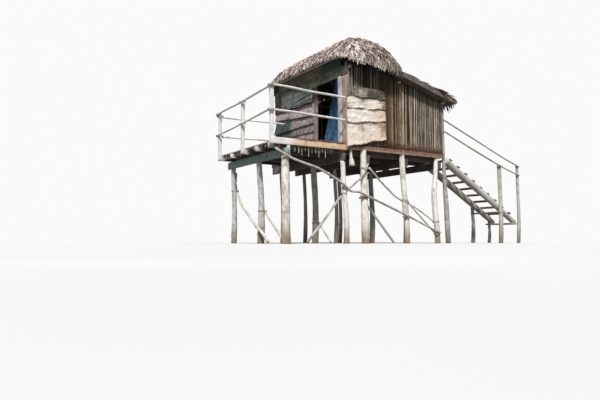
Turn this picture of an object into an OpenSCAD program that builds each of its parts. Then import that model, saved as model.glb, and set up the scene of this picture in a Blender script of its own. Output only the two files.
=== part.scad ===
/* [Levels] */
// Height of the stilt tops above the foot of the corner stilt
stilt_h = 2300; // [2000:20:2600]
// Depth of the bearer planks that lie on the stilts
bearer_h = 220; // [160:10:240]
// Depth of the floor joists that lie on the bearers
joist_h = 130; // [90:10:140]
// Thickness of the floor
floor_t = 60; // [30:5:70]
// Height of the walls' tops
wall_top = 4960; // [4900:10:5000]

/* [Plan] */
// Length of the open deck beside the hut
deck_l = 2410; // [2300:10:2500]
// Depth of the deck from front to back
deck_d = 3440; // [3300:10:3500]
// Width of the hut room
hut_w = 1840; // [1700:10:1900]
// Depth of the hut and the side room
hut_d = 4150; // [4050:10:4200]
// Width of the side room
side_w = 1910; // [1800:10:1950]

/* [Walls] */
// Thickness of the stick walls
stick_t = 36; // [24:2:40]
// Width of one wall stick
stick_w = 46; // [36:2:70]
// Width of the doorway in the deck side wall
door_w = 1190; // [1100:10:1230]
// Height of the head of the doorway and window
head_z = 4770; // [4600:10:4800]
// Height of the window's sill
sill_z = 4360; // [4200:10:4450]
// Exposed width of one lapped board
board_w = 240; // [200:10:260]

/* [Roof] */
// Height of the eave of the big roof
eave_z = 5200; // [5180:10:5260]
// Rise of the thatch from the eave to the ridge
roof_rise = 910; // [860:10:1100]
// Thickness of the thatch
thatch_t = 200; // [150:10:220]
// Overhang of the thatch past the side walls
side_overhang = 200; // [160:10:240]
// Overhang of the thatch past the front and back walls
end_overhang = 350; // [250:10:400]
// How far the front eave droops at its right end
eave_droop = 260; // [0:10:260]
// How far the eave over the door side stands above the front eave
eave_lift = 190; // [100:10:200]

/* [Gangway] */
// Slope of the gangway, as fall for each unit of length
ramp_fall = 0.585; // [0.5:0.005:0.62]
// Length of the gangway in plan
ramp_l = 3300; // [3200:50:3400]

/* [Hidden] */
bearer_z = stilt_h + bearer_h;
floor_low = bearer_z + joist_h;
floor_z = floor_low + floor_t;
door_face = -20;
front_face = -50;
deck_x0 = door_face - deck_l;
deck_y1 = front_face + deck_d;
hut_x1 = door_face + hut_w;
side_x1 = hut_x1 + side_w;
back_face = front_face + hut_d;
wall_y0 = front_face + 20;
timber_w = 110;
plank_t = 60;
joist_rows = [135, 900, 1610, 2500, 3230];
back_joist = 3940;
post_w = 90;
plate_d = 90;
side_plate_z = 4330;
plate_x0 = door_face + 90;
plate_x2 = side_x1 - 100;
bearer_end = back_face - 70;
eave_pole_x = -95;
eave_pole_z = eave_z + eave_lift - 30;
deck_bearer_x = -2010;
door_bearer_x = -150;
house_bearer_x = [735, 2172, 3540];
back_stilt_y = 3450;
door_y0 = 305;
door_y1 = door_y0 + door_w;
stile_y0 = door_y1 + 130;
window_y0 = 1700;
window_y1 = 3560;
curtain_y0 = door_y0 + 5;
lintel_top = wall_top + 110;
upper_y0 = 240;
upper_top = 5420;
board_lap = 18;
gable_h = 300;
gable_x = [130, 1570];
mat_l = 1420;
mat_t = 16;
mat_lean = 2.2;
end_door_y0 = 150;
end_door_y1 = 1000;
roof_cx = (door_face + hut_x1) / 2 - 30;
roof_cy = (front_face + back_face) / 2;
roof_a = hut_w / 2 + side_overhang;
roof_b = hut_d / 2 + end_overhang;
ridge_front = 1225;
ridge_back = 1850;
plan_power = 0.33;
rafter_top = 5740;
rafter_foot = wall_top + plate_d + 60;
side_x0 = hut_x1 + 65;
side_end = side_x1 + 370;
side_t = 150;
side_slope = 0.254;
side_edge = 120;
ramp_y = [20, 900];
ramp_starts = [3845, 3745];
ramp_x0 = side_x1 + 20;
ramp_z0 = 2650;
log_d0 = 230;
log_taper = 50;
tread_w = 110;
tread_t = 28;
tread_step = 340;
tread_over = 90;
crossbar_d = 60;

// Direction of a vector
function unit(v) = v / norm(v);

// Direction of a path of [x, y, z, diameter] points at point i
function path_dir(p, i) =
    let (a = p[max(i - 1, 0)], b = p[min(i + 1, len(p) - 1)])
    unit([b[0] - a[0], b[1] - a[1], b[2] - a[2]]);

// One ring of a pole, square to t, with the slight unevenness of a peeled trunk
function pole_ring(q, t, ref, n, i) =
    let (s = unit(cross(t, ref)), u = cross(t, s))
    [for (k = [0 : n - 1])
        let (a = 360 * k / n, r = q[3] / 2 * (1 + 0.05 * sin(3 * a + 77 * i)))
        [q[0], q[1], q[2]] + r * (cos(a) * s + sin(a) * u)];

// Side quads of a stack of m rings of n points, with both ends closed
function ring_faces(m, n) = concat(
    [[for (k = [0 : n - 1]) k]],
    [[for (k = [0 : n - 1]) m * n - 1 - k]],
    [for (i = [0 : m - 2], k = [0 : n - 1])
        let (j = (k + 1) % n)
        [i * n + k, (i + 1) * n + k, (i + 1) * n + j, i * n + j]]);

// Crooked pole through [x, y, z, diameter] points
module pole(p, n = 8) {
    up = abs(path_dir(p, 0)[2]) > 0.8;
    ref = up ? [0, 1, 0] : [0, 0, 1];
    polyhedron(
        [for (i = [0 : len(p) - 1]) each pole_ring(p[i], path_dir(p, i), ref, n, i)],
        ring_faces(len(p), n), convexity = 4);
}

// Crooked trunk whose rings are level, so that its foot stands flat
module trunk(p, n = 10) {
    polyhedron(
        [for (i = [0 : len(p) - 1]) each pole_ring(p[i], [0, 0, 1], [0, 1, 0], n, i)],
        ring_faces(len(p), n), convexity = 4);
}

// Trunk from its foot to its top with one slow bend
module stilt(foot, top, d, h, bend = 30) {
    trunk([for (i = [0 : 5])
        let (f = i / 5)
        [foot[0] + (top[0] - foot[0]) * f + bend * sin(200 * f),
         foot[1] + (top[1] - foot[1]) * f - bend * sin(300 * f) / 2,
         h * f,
         d * (1.12 - 0.2 * f + 0.05 * sin(500 * f))]]);
}

// Box between two corners
module block(a, b) {
    translate(a) cube(b - a);
}

// Upright wall of touching round sticks, drawn as one fluted slab along X
module stick_slab(l, h, t) {
    n = round(l / stick_w);
    w = l / n;
    linear_extrude(height = h)
        polygon(concat(
            [[0, t * 0.35], [l, t * 0.35]],
            [for (i = [n - 1 : -1 : 0]) each
                [[w * (i + 0.98), -t * 0.3], [w * (i + 0.75), -t * 0.6],
                 [w * (i + 0.25), -t * 0.6], [w * (i + 0.02), -t * 0.3]]]));
}

module corner_stilt() {
    color("wheat") {
        cylinder(h = 620, d1 = 170, d2 = 150, $fn = 40);
        trunk([[0, 0, 600, 150], [-30, -8, 1000, 144], [-70, 6, 1500, 138],
               [-110, 4, 2000, 132], [-130, 0, stilt_h, 130]]);
    }
}

// The front row under the hut, up to the floor's edge
module front_stilts() {
    color("wheat") {
        trunk([[700, 30, 0, 225], [680, 30, 500, 215], [650, 30, 1100, 200],
               [640, 30, 1700, 205], [630, 30, 2200, 190], [620, 30, floor_low, 180]]);
        trunk([[2250, 30, 0, 170], [2240, 40, 600, 168], [2190, 30, 1000, 184],
               [2160, 20, 1400, 160], [2110, 30, 2000, 164], [2060, 30, floor_low, 150]]);
        trunk([[3490, 30, 0, 165], [3460, 30, 500, 165], [3400, 30, 1000, 170],
               [3370, 30, 1500, 165], [3420, 30, 2000, 150], [3470, 30, floor_low, 128]]);
    }
}

// The last front stilt runs on past the floor as a thin pole beside the wall
module end_stilt() {
    color("tan")
        trunk([[3940, 20, 0, 150], [3905, 20, 600, 158], [3870, 20, 1200, 150],
               [3825, 20, 1900, 132], [3792, 20, floor_low, 102], [3772, 10, 3500, 68],
               [3768, 10, 4300, 60]]);
}

module deck_stilts() {
    color("wheat") {
        trunk([[-1930, 20, 0, 250], [-1950, 10, 450, 225], [-1960, 0, 1000, 215],
               [-1970, 0, 1600, 230], [-1980, 0, 2050, 220], [-1980, 0, stilt_h, 190]]);
        stilt([-1960, 1400], [-1980, 1450], 170, stilt_h);
        stilt([-1970, 3150], [-1980, 3180], 150, stilt_h, 15);
    }
}

// The rows behind the front one: a middle row and a back row, below the bearers
module inner_stilts() {
    color("wheat") {
        stilt([-40, 1560], [-70, 1570], 180, stilt_h);
        for (x = house_bearer_x + [55, 48, 60])
            stilt([x, 1650], [x - 30, 1650], 115, stilt_h);
        for (x = concat([door_bearer_x], house_bearer_x) + [30, 25, 28, 25])
            stilt([x + 20, back_stilt_y], [x, back_stilt_y], 120, stilt_h);
    }
}

module deck_bearer() {
    color("cadetblue") block([deck_bearer_x, -150, stilt_h], [deck_bearer_x + plank_t, 3550, bearer_z]);
}

module house_bearers() {
    color("saddlebrown") {
        block([door_bearer_x, -90, stilt_h], [door_bearer_x + plank_t, bearer_end, bearer_z]);
        for (x = house_bearer_x)
            block([x, front_face, stilt_h], [x + plank_t, bearer_end, bearer_z]);
    }
}

// Joist along X, lying on the bearers
module joist(x0, x1, y) {
    block([x0, y - timber_w / 2, bearer_z], [x1, y + timber_w / 2, floor_low]);
}

module deck_joists() {
    color("tan") for (y = joist_rows) joist(deck_x0 + 30, -40, y);
}

// House joists lap beside the deck joists over the door side bearer
module house_joists() {
    color("peru") {
        for (y = joist_rows) joist(-260, side_x1 - 20, y + timber_w);
        joist(-200, side_x1 - 20, back_joist);
    }
}

module deck_floor() {
    color("burlywood")
        block([deck_x0 + post_w, wall_y0, floor_low], [door_face, deck_y1, floor_z]);
}

// The floor is notched round the post that passes through it
module house_floor() {
    color("burlywood")
        difference() {
            block([door_face, wall_y0, floor_low], [side_x1 - 40, back_face - 40, floor_z]);
            block([130, wall_y0 - 1, floor_low - 1], [245, 100, floor_z + 1]);
        }
}

// Weathered plank on the front edge of the deck floor
module front_fascia() {
    color("sandybrown")
        block([deck_x0, front_face - 20, 2610], [door_face, wall_y0, 2780]);
}

module house_edge_beam() {
    color("rosybrown")
        block([door_face, front_face, floor_low], [side_x1, wall_y0, floor_low + 130]);
}

// Ends of the floor sticks that hang behind the fascia
module hanging_sticks() {
    color("tan")
        for (i = [0 : 8]) {
            x = -1600 + 108 * i;
            drop = 150 + 90 * sin(140 * i);
            block([x, wall_y0, floor_low - 90 - drop], [x + 40, wall_y0 + 30, floor_low]);
        }
}

module packing_post() {
    color("white") block([-1945, -60, stilt_h], [-1860, 30, 2610]);
}

module corner_post() {
    color("wheat")
        trunk([[230, 40, 2200, 150], [215, 40, 2320, 140], [195, 42, 2450, 85],
               [185, 45, 2700, 80], [180, 45, 3800, 75], [180, 45, wall_top, 70]], 8);
}

// Thin pole at the hut's corner that the rails are tied to
module corner_pole() {
    color("brown")
        pole([[-48, -79, 2600, 46], [-50, -80, 3300, 46], [-47, -79, 4000, 44], [-49, -80, 4650, 40]]);
}

// Hewn square post with its corners taken off
module hewn_post(x, y, z0, z1) {
    c = 14;
    w = post_w / 2;
    translate([x, y, z0])
        linear_extrude(height = z1 - z0)
            polygon([[-w + c, -w], [w - c, -w], [w, -w + c], [w, w - c],
                     [w - c, w], [-w + c, w], [-w, w - c], [-w, -w + c]]);
}

module rail_posts() {
    color("white") {
        hewn_post(deck_x0 + post_w / 2, wall_y0 + post_w / 2, 2590, 4180);
        hewn_post(deck_x0 + post_w / 2, 1725, 2540, 4060);
        hewn_post(deck_x0 + post_w / 2, 3345, 2540, 4030);
    }
}

module front_rails() {
    color("white") {
        pole([[deck_x0 - 40, -61, 4150, 60], [-1900, -66, 4145, 64], [-1300, -64, 4115, 62],
              [-600, -70, 4105, 62], [-76, -76, 4090, 58]]);
        pole([[deck_x0 - 40, -60, 3485, 58], [-1800, -66, 3490, 64], [-1100, -64, 3475, 60],
              [-500, -70, 3462, 60], [-76, -76, 3450, 56]]);
    }
}

module side_rails() {
    color("white") {
        pole([[deck_x0 - 34, -30, 4120, 66], [deck_x0 - 40, 800, 4075, 70],
              [deck_x0 - 34, 1700, 4030, 66], [deck_x0 - 40, 2500, 4010, 64],
              [deck_x0 - 32, 3440, 3980, 60]]);
        pole([[deck_x0 - 32, -30, 3505, 60], [deck_x0 - 36, 900, 3440, 64],
              [deck_x0 - 32, 1700, 3400, 62], [deck_x0 - 36, 2600, 3350, 60],
              [deck_x0 - 30, 3440, 3320, 56]]);
    }
}

module back_rails() {
    color("white") {
        pole([[deck_x0 - 20, 3436, 3930, 60], [-1600, 3436, 3925, 62], [-800, 3430, 3935, 60],
              [door_face - 22, 3425, 3940, 58]]);
        pole([[deck_x0 - 20, 3434, 3300, 56], [-1600, 3434, 3320, 60], [-800, 3430, 3335, 58],
              [door_face - 22, 3425, 3340, 54]]);
    }
}

module right_jamb() {
    color("silver") block([door_face - 50, door_y0 - 130, floor_z], [40, door_y0, head_z]);
}

module left_jamb() {
    color("rosybrown") block([door_face - 15, door_y1, floor_z], [40, stile_y0, head_z]);
}

// Round posts inside the corners of the hut and the side room
module wall_posts() {
    color("tan")
        translate([0, 0, floor_z]) {
            for (q = [[hut_x1, 50], [hut_x1, back_face - 100], [80, back_face - 100]])
                stilt(q, q, 84, wall_top - floor_z, 4);
            for (q = [[plate_x2, 60], [plate_x2, back_face - 100]])
                stilt(q, q, 84, side_plate_z - floor_z, 4);
        }
}

// Plates on the walls, and a pole below the raised eave
module wall_plates() {
    color("peru") {
        for (x = [plate_x0, hut_x1])
            pole([[x, -120, wall_top + 45, plate_d], [x + 6, 1800, wall_top + 46, plate_d],
                  [x, back_face + 80, wall_top + 45, plate_d]]);
        pole([[eave_pole_x, 60, eave_pole_z, 64], [eave_pole_x + 4, 1900, eave_pole_z + 2, 70],
              [eave_pole_x, back_face - 160, eave_pole_z, 64]]);
        pole([[plate_x2, -200, side_plate_z + 41, 80], [plate_x2 + 6, 1800, side_plate_z + 41, 80],
              [plate_x2, back_face + 150, side_plate_z + 41, 80]]);
    }
}

module tie_poles() {
    color("peru")
        for (y = [50, back_face - 90])
            pole([[30, y, wall_top + plate_d + 40, 76], [900, y, wall_top + plate_d + 44, 76],
                  [hut_x1 + 30, y, wall_top + plate_d + 40, 76]]);
}

module corner_board() {
    color("rosybrown")
        block([door_face, front_face, floor_low], [20, door_y0 - 130, head_z]);
}

// Boards lapped one over the next, drawn as one saw-toothed profile along Y
module door_wall_boards() {
    n = round((sill_z - floor_low) / board_w);
    w = (sill_z - floor_low) / n;
    color("rosybrown")
        translate([20, back_face, floor_low])
            rotate([90, 0, 0])
                linear_extrude(height = back_face - stile_y0)
                    polygon(concat(
                        [[0, 0], [0, n * w]],
                        [for (i = [n - 1 : -1 : 0]) each
                            [[-22, (i + 1) * w], [-22 - board_lap, i * w]]]));
}

module door_wall_stiles() {
    color("rosybrown") {
        block([door_face, stile_y0, sill_z], [20, window_y0, head_z]);
        block([door_face, window_y1, sill_z], [20, back_face, head_z]);
    }
}

// Plank over the doorway, and a board above it that closes the wall up to the thatch
module lintel_board() {
    color("gray") {
        block([door_face - 10, front_face, head_z], [20, back_face, lintel_top]);
        block([door_face, upper_y0, lintel_top + 4], [door_face + 24, back_face - upper_y0, upper_top]);
    }
}

module front_wall() {
    color("saddlebrown") {
        translate([20, wall_y0 + 15, floor_low + 130])
            stick_slab(hut_x1 - 20, wall_top - floor_low - 130, stick_t);
        translate([gable_x[0], wall_y0 + 15, wall_top - 1])
            stick_slab(gable_x[1] - gable_x[0], gable_h, stick_t);
    }
}

// Lower edge of one mat: z at x, from its left and right heights and a slow wave
function mat_edge(x, z0, z1, i) = z0 + (z1 - z0) * x / mat_l + 14 * sin(x * 0.5 + 120 * i);

// One mat hung on the front wall, leaning out at its foot
module mat(i, z0, z1, top) {
    translate([door_face, wall_y0, 0])
        translate([0, 0, top]) rotate([-mat_lean, 0, 0]) translate([0, 0, -top])
            rotate([90, 0, 0])
                linear_extrude(height = mat_t)
                    polygon(concat([[mat_l, top], [0, top]],
                        [for (k = [0 : 10]) [k * mat_l / 10, mat_edge(k * mat_l / 10, z0, z1, i)]]));
}

module front_mats() {
    color("antiquewhite") {
        mat(0, 2700, 3030, 3640);
        mat(1, 3400, 3560, 3990);
        mat(2, 3820, 3910, 4260);
    }
    color("gray") mat(3, 4170, 4210, 4480);
}

module back_wall() {
    color("saddlebrown") {
        translate([hut_x1, back_face - 15, floor_low])
            rotate([0, 0, 180])
                stick_slab(hut_x1 - 20, wall_top - floor_low, stick_t);
        translate([gable_x[1], back_face - 15, wall_top - 1])
            rotate([0, 0, 180])
                stick_slab(gable_x[1] - gable_x[0], gable_h, stick_t);
    }
}

// Space below the slope of the side roof, from the low level z
module below_side_roof(z) {
    translate([0, back_face + 100, 0])
        rotate([90, 0, 0])
            linear_extrude(height = hut_d + 200)
                polygon([[hut_x1 - 10, z], [side_x1 + 10, z], [side_x1 + 10, side_under(side_x1 + 10)],
                         [hut_x1 + 60, side_under(hut_x1 + 60)],
                         [hut_x1 - 10, side_under(hut_x1 + 60)]]);
}

module side_front_wall() {
    color("saddlebrown")
        intersection() {
            translate([hut_x1, wall_y0 + 15, floor_low + 130])
                stick_slab(side_w, wall_top - floor_low, stick_t);
            below_side_roof(floor_low);
        }
}

module side_back_wall() {
    color("saddlebrown")
        intersection() {
            translate([side_x1, back_face - 15, floor_low])
                rotate([0, 0, 180])
                    stick_slab(side_w, wall_top - floor_low, stick_t);
            below_side_roof(floor_low);
        }
}

// End wall of the side room, in two parts beside the gangway's doorway
module end_wall() {
    color("saddlebrown") {
        translate([side_x1 - 15, 0, floor_low])
            rotate([0, 0, 90])
                stick_slab(end_door_y0, side_plate_z - floor_low, stick_t);
        translate([side_x1 - 15, end_door_y1, floor_low])
            rotate([0, 0, 90])
                stick_slab(back_face - 40 - end_door_y1, side_plate_z - floor_low, stick_t);
    }
}

// Signed power, for the squarish plan of the roof
function spow(v, e) = sign(v) * pow(abs(v), e);

// Point of the loaf-shaped roof: w runs from 0 at the ridge to 1 at the eave, a goes round the plan
function roof_point(w, a, inset, rise, lip) =
    let (c = spow(cos(a), plan_power), s = spow(sin(a), plan_power),
         ridge = s < 0 ? ridge_front : ridge_back,
         droop = eave_droop * pow(max(-s, 0), 8) * pow((1 + c) / 2, 2) * pow(w, 3),
         lift = eave_lift * pow(max(-c, 0), 2) * (1 - pow(max(-s, 0), 8)) * pow(w, 6))
    [roof_cx + (roof_a - inset) * w * c,
     roof_cy + (ridge + (roof_b - inset - ridge) * w) * s,
     eave_z - lip - droop + lift + rise * pow(1 - pow(w, 2.2), 0.78)];

// Thick loaf of thatch, hollow below, hipped and rounded at all four corners
module thatch_roof() {
    n = 48;
    inner = [0.08, 0.3, 0.5, 0.7, 0.85, 0.95, 1];
    outer = [1, 0.98, 0.93, 0.85, 0.72, 0.56, 0.4, 0.22, 0.08];
    color("rosybrown")
        polyhedron(
            concat(
                [for (w = inner, k = [0 : n - 1])
                    roof_point(w, 360 * (k + 0.5) / n, thatch_t * 0.75, roof_rise - thatch_t, 0)],
                [for (w = outer, k = [0 : n - 1])
                    roof_point(w, 360 * (k + 0.5) / n, 0, roof_rise, w == 1 ? 50 : 0)]),
            ring_faces(len(inner) + len(outer), n), convexity = 6);
}

// Underside of the lean-to roof at a distance along X
function side_under(x) = side_plate_z + 142 + side_slope * (plate_x2 - x);

// Lean-to thatch over the side room, tucked under the big eave
module side_roof() {
    m = 8;
    x1 = side_end - side_edge;
    color("rosybrown")
        translate([0, back_face + 240, 0])
            rotate([90, 0, 0])
                linear_extrude(height = hut_d + 500)
                    polygon(concat(
                        [[side_x0, side_under(side_x0)], [side_x0, side_under(side_x0) + side_t]],
                        [[x1, side_under(x1) + side_t]],
                        [for (i = [1 : m]) let (a = 90 - 180 * i / m, x = x1 + side_edge * cos(a))
                            [x, side_under(x) + side_t / 2 * (1 + sin(a)) - 4]]));
}

module ridge_pole() {
    z = rafter_top + 66;
    color("peru")
        pole([[roof_cx, roof_cy - 1175, z, 84], [roof_cx, roof_cy, z - 4, 84],
              [roof_cx, roof_cy + 1650, z, 84]]);
}

// Rafter from its foot by a plate to its head by the ridge pole, bowed a little upwards
module rafter(foot, head, d) {
    pole([[foot[0], foot[1], foot[2], d],
          [(foot[0] + head[0]) / 2, (foot[1] + head[1]) / 2, (foot[2] + head[2]) / 2 + 30, d],
          [head[0], head[1], head[2], d]]);
}

// Pairs of rafters, and one from each corner to the ridge's ends
module rafters() {
    color("peru")
        for (side = [-1, 1]) {
            for (y = [1400, 2050, 2700])
                rafter([roof_cx + side * 830, y, rafter_foot], [roof_cx + side * 42, y, rafter_top], 60);
            for (q = [[90, roof_cy - 1165], [back_face - 130, roof_cy + 1640]])
                rafter([roof_cx + side * 780, q[0], rafter_foot + 50],
                       [roof_cx + side * 44, q[1], rafter_top], 56);
        }
}

// Rafters of the lean-to, on a ledger at the hut and on the end plate
module side_rafters() {
    color("peru") {
        for (y = [110, 1300, 2500, 3850])
            pole([[side_x0 + 5, y, side_under(side_x0 + 5) - 32, 58],
                  [3000, y, side_under(3000) - 32, 58],
                  [side_end - 150, y, side_under(side_end - 150) - 32, 54]]);
        pole([[hut_x1 + 88, -120, side_under(hut_x1 + 88) - 96, 76],
              [hut_x1 + 88, 1800, side_under(hut_x1 + 88) - 96, 76],
              [hut_x1 + 88, back_face + 80, side_under(hut_x1 + 88) - 96, 76]]);
    }
}

module long_brace() {
    color("tan")
        pole([[-2340, -110, 2480, 55], [-1896, -170, 2247, 62], [-1390, -172, 2109, 66],
              [-972, -150, 2003, 68], [-215, -112, 1664, 70], [64, -105, 1463, 70],
              [349, -122, 1448, 68], [700, -108, 1330, 68], [1052, -110, 1209, 67],
              [1974, -95, 887, 64], [2881, -80, 551, 60], [3470, -72, 330, 54]]);
}

module forked_brace() {
    color("tan")
        pole([[-1240, 90, 40, 70], [-760, 100, 560, 66], [-160, 108, 1270, 62],
              [90, 50, 1510, 60], [540, -92, 1960, 56], [710, -94, 2290, 40]]);
}

module front_braces() {
    color("tan") {
        pole([[713, -122, 2150, 56], [1149, -20, 1850, 54], [1519, 60, 1623, 54], [1922, 116, 1376, 54],
              [2497, 146, 1175, 52], [2951, 142, 952, 50], [3451, 136, 667, 46]]);
        pole([[600, 160, 1345, 66], [913, 165, 1030, 70], [1237, 180, 704, 72], [1693, 200, 227, 76],
              [1872, 205, 40, 76]]);
        pole([[2285, 45, 1240, 40], [2821, 25, 778, 52], [3250, 5, 407, 50], [3392, 0, 285, 48]]);
    }
}

module deck_braces() {
    color("tan") {
        pole([[-1878, 3225, 2180, 66], [-1876, 3232, 1732, 70], [-1892, 2827, 1200, 76],
              [-1975, 2137, 824, 80], [-2068, 1505, 521, 82], [-2106, 962, 253, 84],
              [-2116, 680, 45, 84]]);
        pole([[-1846, 1500, 985, 60], [-1840, 944, 557, 66], [-1780, 544, 180, 70],
              [-1762, 390, 40, 70]]);
        pole([[88, 1640, 690, 56], [92, 1230, 320, 58], [98, 925, 40, 60]]);
    }
}

// Gathered at its top, spread at its foot
module door_curtain() {
    color("royalblue")
        translate([-12, curtain_y0, 2760])
            rotate([90, 0, 90])
                linear_extrude(height = 30)
                    polygon([[0, 0], [500, 0], [560, 60], [430, 620], [250, 1240], [130, head_z - 2762],
                             [0, head_z - 2762]]);
}

module window_blind() {
    color("darkseagreen") block([-62, window_y0 - 20, 4330], [-34, window_y1 + 20, 4800]);
}

// Height of the gangway's line at a distance along X
function ramp_z(x) = ramp_z0 - ramp_fall * (x - ramp_x0);

// Diameter of a log at x, thinner towards its foot
function log_d(x) = log_d0 - log_taper * (x - ramp_x0) / ramp_l;

// Height of a log's top above its line, measured upright
function log_rise(x) = log_d(x) / 2 * sqrt(1 + ramp_fall * ramp_fall);

module gangway_logs() {
    color("tan")
        for (j = [0, 1])
            pole([for (i = [0 : 5])
                let (x = ramp_starts[j] + (ramp_x0 + ramp_l - ramp_starts[j]) * i / 5)
                [x, ramp_y[j] + 14 * sin(90 * i), ramp_z(x), log_d(x)]], 12);
}

module gangway_treads() {
    color("brown")
        for (i = [0 : 8]) {
            x = ramp_x0 + 230 + tread_step * i;
            translate([x, ramp_y[0] - tread_over, ramp_z(x) + log_rise(x) - 6])
                rotate([0, atan(ramp_fall), 0])
                    cube([tread_w, ramp_y[1] - ramp_y[0] + 2 * tread_over, tread_t]);
        }
}

module gangway_posts() {
    color("tan") {
        stilt([6190, -140], [6190, -140], 130, 2600, 20);
        stilt([7090, -130], [7110, -130], 100, 2640, 20);
        stilt([6190, 1055], [6190, 1055], 120, 1450, 20);
        stilt([7000, 1045], [7010, 1045], 100, 1000, 20);
    }
}

// Poles across the posts, below the logs
module gangway_crossbars() {
    color("tan")
        for (x = [6290, 6930])
            pole([for (y = [-200, 450, 1110])
                [x, y, ramp_z(x) - log_rise(x) - crossbar_d / 2, crossbar_d]]);
}

module gangway_rails() {
    color("tan") {
        pole([[3740, -58, 3520, 50], [4900, -110, 3060, 52], [6190, -228, 2540, 48],
              [7080, -196, 2300, 42]]);
        pole([[3740, -54, 3880, 48], [5070, -110, 3360, 50], [6300, -150, 2880, 46],
              [7100, -194, 2600, 40]]);
    }
}

corner_stilt();
front_stilts();
end_stilt();
deck_stilts();
inner_stilts();
deck_bearer();
house_bearers();
deck_joists();
house_joists();
deck_floor();
house_floor();
front_fascia();
house_edge_beam();
hanging_sticks();
packing_post();
corner_post();
corner_pole();
rail_posts();
front_rails();
side_rails();
back_rails();
right_jamb();
left_jamb();
wall_posts();
wall_plates();
tie_poles();
corner_board();
door_wall_boards();
door_wall_stiles();
lintel_board();
front_wall();
front_mats();
back_wall();
side_front_wall();
side_back_wall();
end_wall();
thatch_roof();
side_roof();
ridge_pole();
rafters();
side_rafters();
long_brace();
forked_brace();
front_braces();
deck_braces();
door_curtain();
window_blind();
gangway_logs();
gangway_treads();
gangway_posts();
gangway_crossbars();
gangway_rails();
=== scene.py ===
import math

import bpy
import numpy as np
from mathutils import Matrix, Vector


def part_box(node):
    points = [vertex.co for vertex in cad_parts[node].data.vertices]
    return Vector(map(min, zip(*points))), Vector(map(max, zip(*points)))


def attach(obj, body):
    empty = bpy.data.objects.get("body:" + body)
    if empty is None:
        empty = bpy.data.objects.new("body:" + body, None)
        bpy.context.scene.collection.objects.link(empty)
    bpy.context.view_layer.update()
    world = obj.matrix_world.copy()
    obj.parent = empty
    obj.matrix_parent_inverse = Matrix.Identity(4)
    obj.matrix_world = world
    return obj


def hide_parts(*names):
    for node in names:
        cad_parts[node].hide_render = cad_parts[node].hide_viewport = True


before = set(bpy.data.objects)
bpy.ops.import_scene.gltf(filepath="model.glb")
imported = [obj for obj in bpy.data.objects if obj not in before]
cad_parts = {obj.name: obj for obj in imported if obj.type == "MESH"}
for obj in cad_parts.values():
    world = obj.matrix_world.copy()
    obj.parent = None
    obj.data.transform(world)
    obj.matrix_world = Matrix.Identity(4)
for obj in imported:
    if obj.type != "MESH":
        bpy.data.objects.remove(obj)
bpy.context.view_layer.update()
print("frame loaded:", len(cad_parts), "nodes")


# Arrays and meshes

threeSided = np.radians([90, 210, 330])  # Corners of a leaf strip's section


def unitRows(v):
    return v / np.maximum(np.linalg.norm(v, axis=-1, keepdims=True), 1e-9)


def softNoise(points, size, seed, waves=10):
    # Sum of plane waves in random directions, each about `size` metres long, scaled to about -1..1
    rng = np.random.default_rng(seed)
    k = rng.normal(size=(waves, 3))
    k *= (2 * np.pi / size) * rng.uniform(0.6, 1.4, (waves, 1)) / np.linalg.norm(k, axis=1, keepdims=True)
    return np.sin(points @ k.T + rng.uniform(0, 6.28, waves)).sum(-1) / math.sqrt(waves) / 1.2


def addObject(name, data):
    made = bpy.data.objects.new(name, data)
    bpy.context.scene.collection.objects.link(made)
    return made


def buildPiece(name, shape, tone, material, replaced=(), smooth=True):
    # shape: the points, the sets of faces, their corners' (u, v) in metres, and how many points a tube has;
    # tone: one value, or one for each tube or for each point
    points, faceSets, cornerUvs, each = shape
    if np.size(tone) * each == len(points):
        tone = np.repeat(tone, each)
    mesh = bpy.data.meshes.new(name)
    counts = np.concatenate([np.full(len(f), f.shape[1]) for f in faceSets])
    corners = np.concatenate([f.ravel() for f in faceSets])
    mesh.vertices.add(len(points))
    mesh.vertices.foreach_set("co", points.astype(np.float32).ravel())
    mesh.loops.add(len(corners))
    mesh.loops.foreach_set("vertex_index", corners.astype(np.int32))
    mesh.polygons.add(len(counts))
    mesh.polygons.foreach_set("loop_start", (np.cumsum(counts) - counts).astype(np.int32))
    mesh.polygons.foreach_set("loop_total", counts.astype(np.int32))
    mesh.polygons.foreach_set("use_smooth", np.full(len(counts), smooth))
    grain = np.concatenate([uv.reshape(-1, 2) for uv in cornerUvs]).astype(np.float32)
    mesh.uv_layers.new(name="grain").data.foreach_set("uv", grain.ravel())
    tones = mesh.attributes.new("tone", "FLOAT", "POINT")
    tones.data.foreach_set("value", np.broadcast_to(tone, len(points)).astype(np.float32))
    mesh.update()
    mesh.validate()
    piece = addObject(name, mesh)
    mesh.materials.append(material)
    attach(piece, "root")
    if replaced:
        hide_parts(*replaced)
    return piece


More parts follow.
